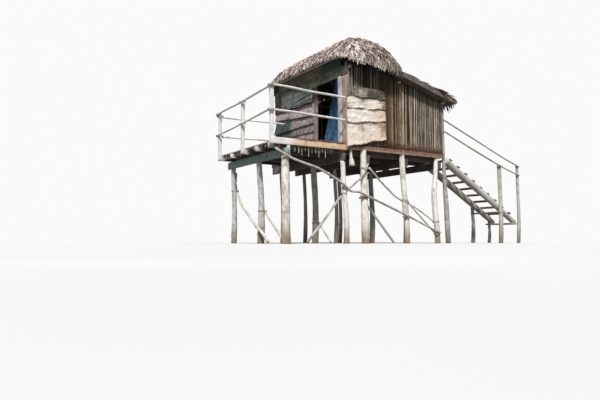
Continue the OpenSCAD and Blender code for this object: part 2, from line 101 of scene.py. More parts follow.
def tubeSet(centres, side, up, across, along):
    # N tubes of R rings of S points: point = centre + side * across + up * along, ends closed by fans.
    # Arrays: centres, side, up are (N, R, 3); across, along are (N, R, S). Side x up runs along the tube.
    count, rings, sides = across.shape
    shell = (centres[:, :, None] + side[:, :, None] * across[..., None] + up[:, :, None] * along[..., None])
    points = np.concatenate([shell.reshape(count, -1, 3), centres[:, :1], centres[:, -1:]], axis=1)
    i, j = np.meshgrid(np.arange(rings - 1), np.arange(sides), indexing="ij")
    n = (j + 1) % sides
    own, after = i * sides, (i + 1) * sides
    quad = np.stack([own + j, own + n, after + n, after + j], -1).reshape(-1, 4)
    s = np.arange(sides)
    m = (s + 1) % sides
    last = (rings - 1) * sides
    first = np.stack([np.full(sides, rings * sides), m, s], -1)
    end = np.stack([np.full(sides, rings * sides + 1), last + s, last + m], -1)
    offset = (np.arange(count) * (rings * sides + 2))[:, None, None]
    quads = (quad[None] + offset).reshape(-1, 4)
    tris = (np.concatenate([first, end])[None] + offset).reshape(-1, 3)
    # u runs round the tube and v along it, both in metres, with a shift for each tube
    steps = np.linalg.norm(np.diff(centres, axis=1), axis=-1)
    shift = np.arange(count)[:, None]
    v = np.concatenate([np.zeros((count, 1)), np.cumsum(steps, axis=1)], axis=1) + shift * 1.37
    girth = np.hypot(across, along).mean((1, 2)) * 2 * np.pi
    u = girth[:, None] * (np.arange(sides + 1) / sides) + shift * 0.71
    shape = (count, rings - 1, sides, 4)
    uq = np.stack([u[:, None, :-1], u[:, None, 1:], u[:, None, 1:], u[:, None, :-1]], -1)
    vq = np.stack([v[:, :-1], v[:, :-1], v[:, 1:], v[:, 1:]], -1)[:, :, None]
    quadUv = np.stack([np.broadcast_to(part, shape) for part in (uq, vq)], -1)
    local = np.stack([across, along], -1)
    ring0, ring1 = local[:, 0], local[:, -1]
    zero = np.zeros_like(ring0)
    triUv = np.concatenate([np.stack([zero, ring0[:, m], ring0[:, s]], 2),
                            np.stack([zero, ring1[:, s], ring1[:, m]], 2)], axis=1)
    return points.reshape(-1, 3), [quads, tris], [quadUv, triUv], rings * sides + 2


def roundTubes(centres, side, up, radius, sides):
    # Tubes with round sections; radius is one value or an array that fits (N, R, sides)
    angle = np.linspace(0, 2 * np.pi, sides, endpoint=False)
    radius = radius * np.ones((*centres.shape[:2], 1))
    return tubeSet(centres, side, up, radius * np.cos(angle), radius * np.sin(angle))


def steady(centres, *axis):
    # The same direction at every ring
    return np.broadcast_to(np.array(axis, float), centres.shape)


def ringAxes(centres, hint=(0, 0, 1.0)):
    # Two axes square to each path: side = path x hint, up = path x side
    path = unitRows(np.gradient(centres, axis=1))
    side = unitRows(np.cross(path, np.broadcast_to(hint, centres.shape)))
    return side, np.cross(path, side)


def smoothPath(points, count):
    # Catmull-Rom curve through the points, sampled at equal steps of their own length
    p = np.vstack([2 * points[0] - points[1], points, 2 * points[-1] - points[-2]])
    length = np.concatenate([[0], np.cumsum(np.linalg.norm(np.diff(points[:, :3], axis=0), axis=1))])
    s = np.interp(np.linspace(0, length[-1], count), length, np.arange(len(points)))
    k = np.minimum(s.astype(int), len(points) - 2)
    t = (s - k)[:, None]
    a, b, c, d = p[k], p[k + 1], p[k + 2], p[k + 3]
    return 0.5 * (2 * b + (c - a) * t + (2 * a - 5 * b + 4 * c - d) * t ** 2
                  + (3 * b - a - 3 * c + d) * t ** 3)


# What the frame holds: each node's solids, their boxes and centre lines

def solidsOf(nodeName):
    # The corner points of each separate solid of a node, found by joining faces that share a point
    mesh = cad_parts[nodeName].data
    mesh.calc_loop_triangles()
    co = np.zeros(len(mesh.vertices) * 3)
    mesh.vertices.foreach_get("co", co)
    tri = np.zeros(len(mesh.loop_triangles) * 3, np.int32)
    mesh.loop_triangles.foreach_get("vertices", tri)
    spots, index = np.unique(np.round(co.reshape(-1, 3), 5), axis=0, return_inverse=True)
    tri = index.reshape(-1)[tri].reshape(-1, 3)
    label = np.arange(len(spots))
    while True:
        low = label[tri].min(1)
        new = label.copy()
        np.minimum.at(new, tri.ravel(), np.repeat(low, 3))
        if (new == label).all():
            break
        label = new
    return [spots[label == k] for k in np.unique(label)]


def boxesOf(nodeName):
    return [(solid.min(0), solid.max(0)) for solid in solidsOf(nodeName)]


def linesOf(*nodeNames):
    return [centreLine(solid) for nodeName in nodeNames for solid in solidsOf(nodeName)]


def centreLine(solid, ringGap=0.05):
    # Rings of points along the solid's longest direction: their middles and mean radii
    middle = solid.mean(0)
    axis = np.linalg.svd(solid - middle)[2][0]
    if abs(axis[2]) > 0.85:
        axis = np.array([0, 0, 1.0])
    axis = axis * np.sign(axis[np.argmax(abs(axis))])
    order = np.argsort((solid - middle) @ axis)
    along = ((solid - middle) @ axis)[order]
    rings = np.split(solid[order], np.nonzero(np.diff(along) > ringGap)[0] + 1)
    mid = np.array([r.mean(0) for r in rings])
    radius = np.array([np.linalg.norm(r - r.mean(0), axis=1).mean() for r in rings])
    return np.column_stack([mid, radius])


# Node trees

def newMaterial(name, roughness, specular, sheen=0.0):
    material = bpy.data.materials.new(name)
    material.use_nodes = True
    inputs = material.node_tree.nodes["Principled BSDF"].inputs
    for key, value in (("Roughness", roughness), ("Specular IOR Level", specular), ("Sheen Weight", sheen)):
        inputs[key].default_value = value
    return material, material.node_tree


def put(tree, kind, props=None, **inputs):
    # One shader node: props are its settings; inputs are values or sockets, by name with _ for a space, or
    # by number as in0, in1
    node = tree.nodes.new("ShaderNode" + kind)
    for key, value in (props or {}).items():
        setattr(node, key, value)
    for key, value in inputs.items():
        socket = node.inputs[int(key[2:])] if key.startswith("in") else node.inputs[key.replace("_", " ")]
        if isinstance(value, bpy.types.NodeSocket):
            tree.links.new(value, socket)
        else:
            socket.default_value = value
    return node


def calc(tree, operation, *values, **props):
    inputs = {f"in{k}": value for k, value in enumerate(values)}
    return put(tree, "Math", {"operation": operation, **props}, **inputs).outputs[0]


def addUp(tree, value, *shares):
    # value + noise * share, for each (noise, share) in turn
    for noise, share in shares:
        value = calc(tree, "MULTIPLY_ADD", noise, share, value)
    return value


def fade(tree, value, start, end, first=0.0, last=1.0):
    # first where the value is at start, last where it is at end, straight between them
    node = put(tree, "MapRange", Value=value, From_Min=start, From_Max=end, To_Min=first, To_Max=last)
    return node.outputs[0]


def objectAxis(tree, axis):
    return put(tree, "SeparateXYZ", Vector=put(tree, "TexCoord").outputs["Object"]).outputs[axis]


def toneOf(tree):
    return put(tree, "Attribute", {"attribute_name": "tone"}).outputs["Fac"]


def ramp(tree, factor, stops):
    # Colour ramp: stops are (place, (r, g, b))
    node = put(tree, "ValToRGB", Fac=factor)
    elements = node.color_ramp.elements
    while len(elements) < len(stops):
        elements.new(0.5)
    for element, (place, colour) in zip(elements, stops):
        element.position = place
        element.color = (*colour, 1)
    return node.outputs["Color"]


def mixColour(tree, factor, a, b, blend="MIX"):
    node = put(tree, "Mix", {"data_type": "RGBA", "blend_type": blend})
    for socket, value in ((node.inputs[0], factor), (node.inputs[6], a), (node.inputs[7], b)):
        if isinstance(value, bpy.types.NodeSocket):
            tree.links.new(value, socket)
        else:
            socket.default_value = (*value, 1)
    return node.outputs[2]


def grainNoise(tree, stretch, scale=1.0, detail=6, roughness=0.6, source="UV"):
    # Noise drawn out along the piece: `stretch` scales its own map (across, along) or the object's axes
    if source == "UV":
        place = put(tree, "UVMap", {"uv_map": "grain"}).outputs["UV"]
    else:
        place = put(tree, "TexCoord").outputs["Object"]
    mapped = put(tree, "Mapping", Vector=place, Scale=stretch).outputs["Vector"]
    noise = put(tree, "TexNoise", Vector=mapped, Scale=scale, Detail=detail, Roughness=roughness)
    return noise.outputs["Fac"]


def blotches(tree, scale, detail=4, roughness=0.6, stretch=(1, 1, 1)):
    return grainNoise(tree, stretch, scale, detail, roughness, "Object")


def dress(material, colour, height=None, strength=0.0, depth=0.0):
    # Links the colour, and a bump `depth` metres deep, to the material's shader
    tree = material.node_tree
    inputs = tree.nodes["Principled BSDF"].inputs
    tree.links.new(colour, inputs["Base Color"])
    if height:
        bump = put(tree, "Bump", Strength=strength, Distance=depth, Height=height)
        tree.links.new(bump.outputs["Normal"], inputs["Normal"])
    return material


def darker(colour, share):
    return tuple(c * share for c in colour)


# Dark teal for a patch over some boards, darker in its cracks
tealPatchColours = ((0.012, 0.022, 0.02), (0.05, 0.105, 0.097))  # Worn teal, in its cracks and on its face
bleachedWood = ((0.55, 0.50, 0.45), (0.93, 0.91, 0.88))
crumbs = ((0.35, (0.06, 0.035, 0.024)), (0.50, (0.20, 0.105, 0.072)), (0.68, (0.46, 0.31, 0.235)))
# Scales of the noises on a piece's own map, across the grain and along it
woodGrain = {"streak": (60, 3.2), "fine": (210, 9), "crack": (38, 1.1), "knot": (9, 3.5), "ring": (3, 26)}


def leafDirt(tree):
    # Crumbled red-brown leaf
    return ramp(tree, blotches(tree, 24.0, 4, 0.7), crumbs)


def weatheredWood(name, light, mid, dark, grain=1.0, patch=1.2, foot=None, crack=0.35, bleached=None,
                  soot=None, paint=None, mottle=0.0, litter=None):
    # Weathered wood: streaks along the grain, broad patches, knots and dark cracks. Where they are given:
    # foot = (stain, up to z, amount), bleached = (from x, to x), painted shade = (from z, to z, amount),
    # teal patch = its ranges of y and z, mottle = how dark the bark's scars are, litter = (above z, amount)
    material, tree = newMaterial(name, 0.86, 0.2)
    stretch = {key: (across * grain, along, 1) for key, (across, along) in woodGrain.items()}
    streak = grainNoise(tree, stretch["streak"], 1.0, 8, 0.65)
    fine = grainNoise(tree, stretch["fine"], 1.0, 4)
    broad = blotches(tree, 2.2 * patch)
    blend = fade(tree, addUp(tree, 0.0, (streak, 0.5), (broad, 0.75), (toneOf(tree), 0.3)), 0.50, 1.10)
    brightest = tuple(min(1, c * 1.06) for c in light)
    colour = ramp(tree, blend, [(0.0, dark), (0.38, mid), (0.8, light), (1.0, brightest)])
    cracks = fade(tree, grainNoise(tree, stretch["crack"], 1.0, 5, 0.7), 0.30, 0.40, crack, 0.0)
    if bleached:
        far = fade(tree, addUp(tree, objectAxis(tree, "X"), (streak, 0.25)), *bleached, 0.95, 0.0)
        colour = mixColour(tree, far, colour, ramp(tree, blend, list(zip((0.0, 0.7), bleachedWood))))
    knots = fade(tree, grainNoise(tree, (*woodGrain["knot"], 1), 1.0, 3, 0.55), 0.66, 0.74, 0.0, 0.7)
    colour = mixColour(tree, knots, colour, darker(dark, 0.8))
    colour = mixColour(tree, cracks, colour, darker(dark, 0.35))
    if foot:
        stain, height, amount = foot
        low = fade(tree, addUp(tree, objectAxis(tree, "Z"), (broad, -0.5)), -0.12, height, amount, 0.0)
        colour = mixColour(tree, low, colour, stain)
    if mottle:
        scar = fade(tree, blotches(tree, 11.0, 6, 0.72, (1, 1, 0.45)), 0.50, 0.60, 0.0, mottle)
        colour = mixColour(tree, scar, colour, tuple(0.7 * c + 0.3 * d for c, d in zip(dark, mid)))
        ring = fade(tree, grainNoise(tree, (*woodGrain["ring"], 1), 1.0, 3), 0.62, 0.70, 0.0, mottle)
        colour = mixColour(tree, ring, colour, dark)
    # Painted shade: a band that darkens the wood between the two heights given
    if soot:
        band = fade(tree, objectAxis(tree, "Z"), *soot[:2], 0.0, soot[2])
        colour = mixColour(tree, band, colour, darker(dark, 0.5))
    if litter:
        high = addUp(tree, objectAxis(tree, "Z"), (blotches(tree, 16.0, 4, 0.7), 0.12))
        high = fade(tree, high, litter[0], litter[0] + 0.02, 0.0, litter[1])
        if bleached:
            high = calc(tree, "SUBTRACT", high, far, use_clamp=True)
        colour = mixColour(tree, high, colour, leafDirt(tree))
    # A dark teal patch over the ranges of y and z given
    if paint:
        far = fade(tree, addUp(tree, objectAxis(tree, "Y"), (broad, 0.6)), *paint[0], 0.0, 0.88)
        low = fade(tree, addUp(tree, objectAxis(tree, "Z"), (broad, 0.5)), *paint[1])
        left = calc(tree, "MULTIPLY", far, low)
        colour = mixColour(tree, left, colour, ramp(tree, fine, list(zip((0.35, 0.7), tealPatchColours))))
    return dress(material, colour, addUp(tree, streak, (fine, 0.35), (cracks, -1.2)), 0.5, 0.006)


fasciaTop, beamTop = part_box("front_fascia")[1][2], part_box("house_edge_beam")[1][2]
wood = {key: weatheredWood(name, *colours, **more) for key, name, colours, more in (
    ("pale_trunk", "paleTrunk", ((1.0, 0.97, 0.905), (0.97, 0.93, 0.85), (0.26, 0.195, 0.14)),
     {"patch": 2.6, "crack": 0.75, "mottle": 0.66, "foot": ((0.27, 0.18, 0.09), 0.40, 0.9)}),
    ("shade_trunk", "shadeTrunk", ((0.74, 0.72, 0.69), (0.52, 0.50, 0.47), (0.20, 0.185, 0.17)),
     {"patch": 2.6, "crack": 0.6, "mottle": 0.75, "foot": ((0.24, 0.18, 0.10), 0.40, 0.85)}),
    ("grey_trunk", "greyTrunk", ((0.68, 0.64, 0.59), (0.45, 0.41, 0.37), (0.15, 0.125, 0.105)),
     {"patch": 2.2, "crack": 0.6, "mottle": 0.6, "foot": ((0.22, 0.16, 0.09), 0.40, 0.8)}),
    ("grey_pole", "greyPole", ((0.64, 0.58, 0.52), (0.42, 0.36, 0.31), (0.18, 0.14, 0.12)), {}),
    ("pale_pole", "palePole", ((0.86, 0.82, 0.76), (0.64, 0.58, 0.52), (0.26, 0.21, 0.17)),
     {"patch": 2.5, "mottle": 0.6}),
    ("bleached_timber", "bleachedTimber", ((0.99, 0.975, 0.95), (0.89, 0.86, 0.815), (0.44, 0.38, 0.33)),
     {"patch": 2.2, "crack": 0.7, "mottle": 0.35}),
    # Planks under the house: colours darkened in part as painted shade below the floor
    ("dark_plank", "darkPlank", ((0.19, 0.16, 0.135), (0.11, 0.09, 0.075), (0.04, 0.033, 0.028)), {}),
    ("deck_joist", "deckJoist", ((0.24, 0.20, 0.17), (0.14, 0.115, 0.10), (0.055, 0.045, 0.038)),
     {"bleached": (-2.25, -2.05)}),
    # The slats' undersides are darkened as painted shade below the floors
    ("floor_slats", "floorSlats", ((0.50, 0.43, 0.37), (0.33, 0.275, 0.235), (0.13, 0.105, 0.09)),
     {"soot": (2.695, 2.675, 0.75)}),
    ("fascia_plank", "fasciaPlank", ((0.88, 0.64, 0.45), (0.66, 0.37, 0.22), (0.30, 0.14, 0.075)),
     {"patch": 2.4, "crack": 0.8, "bleached": (-1.75, -1.45), "litter": (fasciaTop + 0.025, 0.9)}),
    ("edge_timber", "edgeTimber", ((0.50, 0.34, 0.26), (0.25, 0.145, 0.10), (0.07, 0.038, 0.027)),
     {"patch": 5.0, "crack": 0.8, "mottle": 0.5, "litter": (beamTop - 0.03, 0.85)}),
    ("board", "boardSkin", ((0.58, 0.505, 0.485), (0.31, 0.26, 0.25), (0.075, 0.058, 0.055)),
     {"grain": 0.6, "patch": 2.8, "crack": 0.8, "mottle": 0.5, "paint": ((3.22, 3.40), (4.36, 4.24))}),
    ("shaded_board", "shadedBoard", ((0.27, 0.24, 0.195), (0.13, 0.112, 0.09), (0.045, 0.038, 0.032)),
     {"crack": 0.6, "paint": ((1.75, 1.35), (5.0, 5.1))}),
    ("log", "logBark", ((0.68, 0.65, 0.60), (0.47, 0.44, 0.40), (0.20, 0.17, 0.15)), {"crack": 0.6}),
    # Lintel: colours darkened in part as painted shade of the eave
    ("lintel", "lintelSkin", ((0.29, 0.29, 0.24), (0.15, 0.15, 0.118), (0.045, 0.043, 0.036)),
     {"patch": 2.0, "crack": 0.7}),
    ("jamb", "jambWood", ((0.74, 0.75, 0.76), (0.60, 0.605, 0.61), (0.32, 0.31, 0.31)), {}),
    ("red_pole", "redPole", ((0.52, 0.33, 0.26), (0.36, 0.20, 0.15), (0.15, 0.08, 0.06)), {}),
    # Pink boards: colours darkened in part as painted shade, with more painted shade high up under the eave
    ("pink_board", "pinkBoard", ((0.36, 0.29, 0.265), (0.19, 0.145, 0.13), (0.07, 0.05, 0.043)),
     {"patch": 2.4, "crack": 0.8, "mottle": 0.4, "soot": (4.10, 4.45, 0.97)}),
    ("pale_board", "paleBoard", ((0.66, 0.56, 0.52), (0.50, 0.41, 0.375), (0.22, 0.16, 0.14)),
     {"crack": 0.6}),
    ("tread", "treadWood", ((0.42, 0.31, 0.235), (0.26, 0.175, 0.125), (0.10, 0.065, 0.045)), {}),
    ("painted_plank", "paintedPlank", ((0.40, 0.50, 0.46), (0.21, 0.315, 0.295), (0.07, 0.09, 0.085)),
     {"patch": 3.0, "crack": 0.7}),
)}


# Round wood: every trunk and pole follows the centre line of its solid

roundWood = {
    "trunk": {"sides": 22, "rings": 72, "knots": 8, "knotSize": 0.14, "lobes": 0.04, "bark": 0.022,
              "wander": 0.045},
    "pole": {"sides": 12, "rings": 50, "knots": 9, "knotSize": 0.12, "lobes": 0.05, "bark": 0.022,
             "wander": 0.05},
}


def roundLines(name, lines, nodes, kind, slotName, seed, look=None):
    # Radius = the line's own, times slow lobes round it, a rough bark and a bump at each knot
    s = roundWood[kind]
    rng = np.random.default_rng(seed)
    paths = np.stack([smoothPath(line, s["rings"]) for line in lines])
    centres, radius = paths[..., :3], paths[..., 3]
    count, thickness = len(lines), radius.mean(1)[:, None, None]
    wander = rng.uniform(-1, 1, (count, 1, 3)) * 9
    t = np.linspace(0, 1, s["rings"])[None, :, None]
    sway = np.sin(t * wander + rng.uniform(0, 6, (count, 1, 3))) * np.sin(np.pi * t)
    centres = centres + sway * thickness * s["wander"]
    vertical = abs(unitRows(centres[:, -1] - centres[:, 0])[:, 2:]) > 0.8
    hint = np.where(vertical, np.array([[0, 1.0, 0]]), np.array([[0, 0, 1.0]]))[:, None]
    side, up = ringAxes(centres, hint)
    if kind == "trunk":
        side = np.where(vertical[:, None], np.array([1.0, 0, 0]), side)
        up = np.where(vertical[:, None], np.array([0, 1.0, 0]), up)
    angle = np.linspace(0, 2 * np.pi, s["sides"], endpoint=False)[None, None]
    length = np.linalg.norm(np.diff(centres, axis=1), axis=-1).sum(1)[:, None, None]
    phase = rng.uniform(0, 6.28, (count, 4))[:, :, None, None]
    turn = 1.5 * t * length
    lobes = np.sin(2 * angle + phase[:, 0] + turn) + 0.7 * np.sin(3 * angle + phase[:, 1] - turn * 1.7)
    bark = np.sin(7 * angle + phase[:, 2] + 5 * np.sin(turn * 2.1)) * np.sin(turn * 6 + phase[:, 3])
    rough = lobes * s["lobes"] + s["bark"] * bark
    for knot in range(s["knots"]):
        at, where = rng.uniform(0.05, 0.95, (count, 1, 1)), rng.uniform(0, 6.28, (count, 1, 1))
        size = rng.uniform(0.4, 1.0, (count, 1, 1)) * s["knotSize"]
        near = ((t - at) * length / (thickness * 0.75)) ** 2
        turned = (np.angle(np.exp(1j * (angle - where))) / 0.55) ** 2
        rough = rough + size * np.exp(-near - turned)
    tubes = roundTubes(centres, side, up, radius[..., None] * (1 + rough), s["sides"])
    print(name, count, "round pieces")
    buildPiece(name, tubes, rng.uniform(0, 1, count), wood[look or slotName], nodes)


deckStilts = sorted(linesOf("deck_stilts"), key=lambda line: line[0, 1])
plates = sorted(linesOf("wall_plates"), key=lambda line: line[:, 0].mean())
splitNodes = {"deckFrontStilt": deckStilts[:1], "deckBackStilts": deckStilts[1:],
              "eavePole": plates[:1], "wallPlates": plates[1:]}
for name, nodes, kind, slotName, seed, look in (
    ("cornerStilt", ["corner_stilt"], "trunk", "pale_trunk", 1, None),
    ("frontStilts", ["front_stilts"], "trunk", "pale_trunk", 2, None),
    ("deckFrontStilt", ["deck_stilts"], "trunk", "pale_trunk", 3, None),
    ("deckBackStilts", [], "trunk", "pale_trunk", 25, "shade_trunk"),
    ("innerStilts", ["inner_stilts"], "trunk", "grey_trunk", 4, None),
    ("endStilt", ["end_stilt"], "trunk", "grey_trunk", 5, "shade_trunk"),
    ("cornerPost", ["corner_post"], "trunk", "pale_trunk", 6, "bleached_timber"),
    ("gangwayPosts", ["gangway_posts"], "trunk", "grey_trunk", 7, None),
    ("gangwayLogs", ["gangway_logs"], "trunk", "pale_trunk", 8, "log"),
    ("frontRails", ["front_rails"], "pole", "bleached_timber", 9, None),
    ("sideRails", ["side_rails"], "pole", "bleached_timber", 10, None),
    ("backRails", ["back_rails"], "pole", "bleached_timber", 11, None),
    ("cornerPole", ["corner_pole"], "pole", "red_pole", 12, None),
    ("longBrace", ["long_brace"], "pole", "grey_pole", 13, "pale_pole"),
    ("forkedBrace", ["forked_brace"], "pole", "grey_pole", 14, "pale_pole"),
    ("frontBraces", ["front_braces"], "pole", "grey_pole", 15, "pale_pole"),
    ("deckBraces", ["deck_braces"], "pole", "grey_pole", 16, "pale_pole"),
    ("gangwayRails", ["gangway_rails"], "pole", "grey_pole", 17, None),
    ("gangwayCrossbars", ["gangway_crossbars"], "pole", "grey_pole", 18, None),
    ("wallPosts", ["wall_posts"], "pole", "grey_pole", 19, None),
    # The eave pole takes the paler wood as painted light, lit below the thatch
    ("eavePole", ["wall_plates"], "pole", "grey_pole", 27, "pale_pole"),
    ("wallPlates", [], "pole", "grey_pole", 20, None),
    ("tiePoles", ["tie_poles"], "pole", "grey_pole", 21, None),
    ("ridgePole", ["ridge_pole"], "pole", "grey_pole", 22, None),
    ("roofRafters", ["rafters"], "pole", "grey_pole", 23, None),
):
    roundLines(name, splitNodes.get(name) or linesOf(*nodes), nodes, kind, slotName, seed, look)


# Sawn and hewn wood: planks with worn edges, swept along their longest side

plankWear = {"bevel": 0.12, "nibble": 0.012, "bow": 0.004, "rings": 40, "swell": 0.008}
longPlank = {"rings": 90, "nibble": 0.03}


def plankProfile(halfA, halfB, bevel):
    # Round-cornered rectangle: four corner arcs of three points with two points between on each side
    r = (bevel * np.minimum(halfA, halfB))[:, None, None]
    a = np.radians(90 * np.arange(4)[:, None] + [-90, -45, 0])
    edges = []
    for half, way, arc in ((halfA, (1, 1, -1, -1), np.cos(a)), (halfB, (-1, 1, 1, -1), np.sin(a))):
        arcs = np.array(way)[:, None] * (half[:, None, None] - r) + r * arc
        start, end = arcs[..., 2:], np.roll(arcs, -1, axis=1)[..., :1]
        between = start + (end - start) * np.array([1 / 3, 2 / 3])
        edges.append(np.concatenate([arcs, between], -1).reshape(len(half), -1))
    return edges


def plankSet(name, boxes, look, slotName, seed, replaced=(), **changes):
    # Each plank fills its box: the rounded rectangle, its edges nibbled by noise, its line bowed a little
    s = {**plankWear, **changes}
    rng = np.random.default_rng(seed)
    low, high = (np.array(corners) for corners in zip(*boxes))
    half, rows = (high - low) / 2, np.arange(len(boxes))
    order = (np.argmax(high - low, axis=1) + np.arange(3)[:, None]) % 3  # Longest side first
    path, side, up = np.eye(3)[order][:, :, None]
    reach, halfA, halfB = (half[rows, k] for k in order)
    t = np.linspace(-1, 1, s["rings"])[None, :, None]
    centres = (low + high)[:, None] / 2 + path * (reach[:, None, None] * t)
    bend = rng.uniform(-1, 1, (len(boxes), 1, 2)) * s["bow"]
    curve = 1 - t ** 2
    centres = centres + side * bend[..., :1] * curve + up * bend[..., 1:] * curve
    x, y = (edge[:, None] for edge in plankProfile(halfA, halfB, s["bevel"]))
    base = centres[:, :, None] + side[:, None] * x[..., None] + up[:, None] * y[..., None]
    wear = softNoise(base, 0.09, seed + 50) * s["nibble"] + softNoise(base, 0.5, seed + 60) * s["swell"]
    shrink = 1 - np.abs(wear) * 1.2
    side, up = (np.broadcast_to(axis, centres.shape) for axis in (side, up))
    print(name, len(boxes), "planks")
    buildPiece(name, tubeSet(centres, side, up, x * shrink, y * shrink), rng.uniform(0, 1, len(boxes)),
               wood[look], replaced)


for name, node, slotName, seed, look, changes in (
    ("deckBearer", "deck_bearer", "painted_plank", 31, None, {}),
    ("houseBearers", "house_bearers", "dark_plank", 32, None, {}),
    ("deckJoists", "deck_joists", "grey_pole", 33, "deck_joist", {}),
    ("houseJoists", "house_joists", "dark_plank", 34, None, {}),
    ("frontFascia", "front_fascia", "fascia_plank", 35, None, longPlank),
    ("edgeBeam", "house_edge_beam", "edge_timber", 36, None, longPlank),
    ("packingPost", "packing_post", "bleached_timber", 37, None, {}),
    ("railPosts", "rail_posts", "bleached_timber", 38, None, {}),
    ("rightJamb", "right_jamb", "jamb", 39, None, {}),
    ("leftJamb", "left_jamb", "edge_timber", 40, "pink_board", {}),
    ("cornerBoard", "corner_board", "board", 41, "pale_board", {}),
    ("wallStiles", "door_wall_stiles", "board", 42, "pink_board", {}),
):
    plankSet(name, boxesOf(node), look or slotName, slotName, seed, (node,), **changes)
lowBoard, (upperLow, upperHigh) = sorted(boxesOf("lintel_board"), key=lambda box: box[0][2])
plankSet("lintelBoard", [lowBoard], "lintel", "board", 43, ("lintel_board",), **longPlank)
upperLevel = upperLow[2] + (upperHigh[2] - upperLow[2]) * np.array([0, 0.49, 0.5, 1.0])
upperRows = [(np.array([*upperLow[:2], low]), np.array([*upperHigh[:2], high]))
             for low, high in upperLevel.reshape(2, 2)]
plankSet("upperBoards", upperRows, "shaded_board", "board", 45, **longPlank)
slim = np.array([0.3, 0.3, 0])  # The hanging sticks are thinner than their blocks
slimRows = [(low + (high - low) * slim, high - (high - low) * slim)
            for low, high in boxesOf("hanging_sticks")]
plankSet("hangingSticks", slimRows, "grey_pole", "grey_pole", 44, ("hanging_sticks",))


# Thatch: strips of dry leaf that follow the steepest way down a roof

thatch = {"strip": 0.042, "thick": 0.006, "rings": 4, "seed": 70, "clump": 0.24, "clumpShare": 0.30,
          "proud": 0.055, "widths": (0.55, 1.35), "thicks": (0.6, 1.4), "tipCurl": 0.014, "roll": 0.5,
          "shortest": 0.08, "tone": 0.46, "toneSpread": 0.30, "blotShare": 0.16, "tipShade": 0.42,
          "sideCount": 3600, "sideFringeCount": 900}
ridgeLeaves = {"count": 700, "rings": 6, "seed": 78, "reach": (0.12, 0.30), "raised": (0.010, 0.040),
               "tone": 0.45, "toneSpread": 0.28}
stripSets = (  # Name, how many, w from, w to, power, length, lift, hang, spread, width, bright
    ("thatchLower", 6500, 0.45, 0.96, 0.8, (0.18, 0.42), (0.010, 0.060), (0.02, 0.13), 0.26, 1.0, 0.0),
    ("thatchUpper", 3700, 0.0, 0.6, 0.75, (0.18, 0.42), (0.006, 0.046), (0.02, 0.10), 0.28, 1.0, 0.04),
    ("eaveFringe", 2400, 0.90, 0.985, 1.0, (0.20, 0.42), (0.0, 0.04), (0.03, 0.19), 0.16, 0.85, 0.05),
    ("looseTufts", 1500, 0.0, 0.97, 0.6, (0.12, 0.28), (0.015, 0.062), (0.02, 0.12), 0.50, 0.70, 0.38),
)
loaf = {"planPower": 2 / 0.33, "profilePower": 2.2, "crownPower": 0.78, "ridgeFront": 1.225,
        "ridgeBack": 1.85, "eave": 5.2, "droop": 0.26, "lift": 0.19, "steep": 5.5}
leanTo = {"slope": 0.254, "edge": 0.12, "steep": 4.0}
roofLow, roofHigh = np.array(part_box("thatch_roof"))
roofMid, roofHalf = (roofLow + roofHigh) / 2, (roofHigh - roofLow) / 2
sideLow, sideHigh = np.array(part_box("side_roof"))


def ridgeEnd(way):
    # How far the ridge reaches to the front (way < 0) or to the back
    return np.where(way < 0, loaf["ridgeFront"], loaf["ridgeBack"])


def loafPlace(x, y, w):
    # A plan point over the half sizes of the outline whose width is w
    ridge = ridgeEnd(y - roofMid[1])
    return (x - roofMid[0]) / (roofHalf[0] * w), (y - roofMid[1]) / (ridge + (roofHalf[1] - ridge) * w)


def loafWidth(x, y):
    # w of a plan point: 0 on the ridge, 1 on the eave, found by halving on the superellipse |x|^p + |y|^p = 1
    low, high = np.full(x.shape, 0.01), np.full(x.shape, 1.6)
    for step in range(26):
        w = (low + high) / 2
        full = sum(np.abs(place) ** loaf["planPower"] for place in loafPlace(x, y, w))
        low, high = np.where(full > 1, w, low), np.where(full > 1, high, w)
    return (low + high) / 2


def loafHeight(x, y):
    # eave - droop + lift + rise * (1 - w^2.2)^0.78 up to the eave, then straight down past it
    w = loafWidth(x, y)
    c, s = (np.clip(place, -1, 1) for place in loafPlace(x, y, w))
    inside = np.minimum(w, 1)
    front = np.maximum(-s, 0) ** 8
    droop = loaf["droop"] * front * ((1 + c) / 2) ** 2 * inside ** 3
    lift = loaf["lift"] * np.maximum(-c, 0) ** 2 * (1 - front) * inside ** 6
    body = (roofHigh[2] - loaf["eave"]) * (1 - inside ** loaf["profilePower"]) ** loaf["crownPower"]
    return loaf["eave"] - droop + lift + body - np.maximum(w - 1, 0) * loaf["steep"]


def pastLoaf(x, y):
    # How far below the big eave's edge
    return np.maximum(loafWidth(x, y) - 1, 0) * loaf["steep"]


def pastLeanTo(x, y):
    # The same for the lean-to, which falls along X only
    return np.maximum(x - (sideHigh[0] - leanTo["edge"]), 0) * leanTo["steep"]


def leanToHeight(x, y):
    # A plane that falls along X, then straight down past its rounded edge
    return sideHigh[2] - leanTo["slope"] * (x - sideLow[0]) - pastLeanTo(x, y)


def downhill(height, x, y, reach, steps, small=0.004):
    # Walks each strip down the surface in equal steps of its own length: its points and surface normals
    spots, normals = [], []
    for step in range(steps):
        dx = (height(x + small, y) - height(x - small, y)) / (2 * small)
        dy = (height(x, y + small) - height(x, y - small)) / (2 * small)
        spots.append(np.stack([x, y, height(x, y)], -1))
        normals.append(unitRows(np.stack([-dx, -dy, np.ones_like(dx)], -1)))
        slope = np.hypot(dx, dy) + 1e-6
        run = reach / (steps - 1) / np.sqrt(1 + slope ** 2)
        x, y = x - dx / slope * run, y - dy / slope * run
    return np.stack(spots, 1), np.stack(normals, 1)


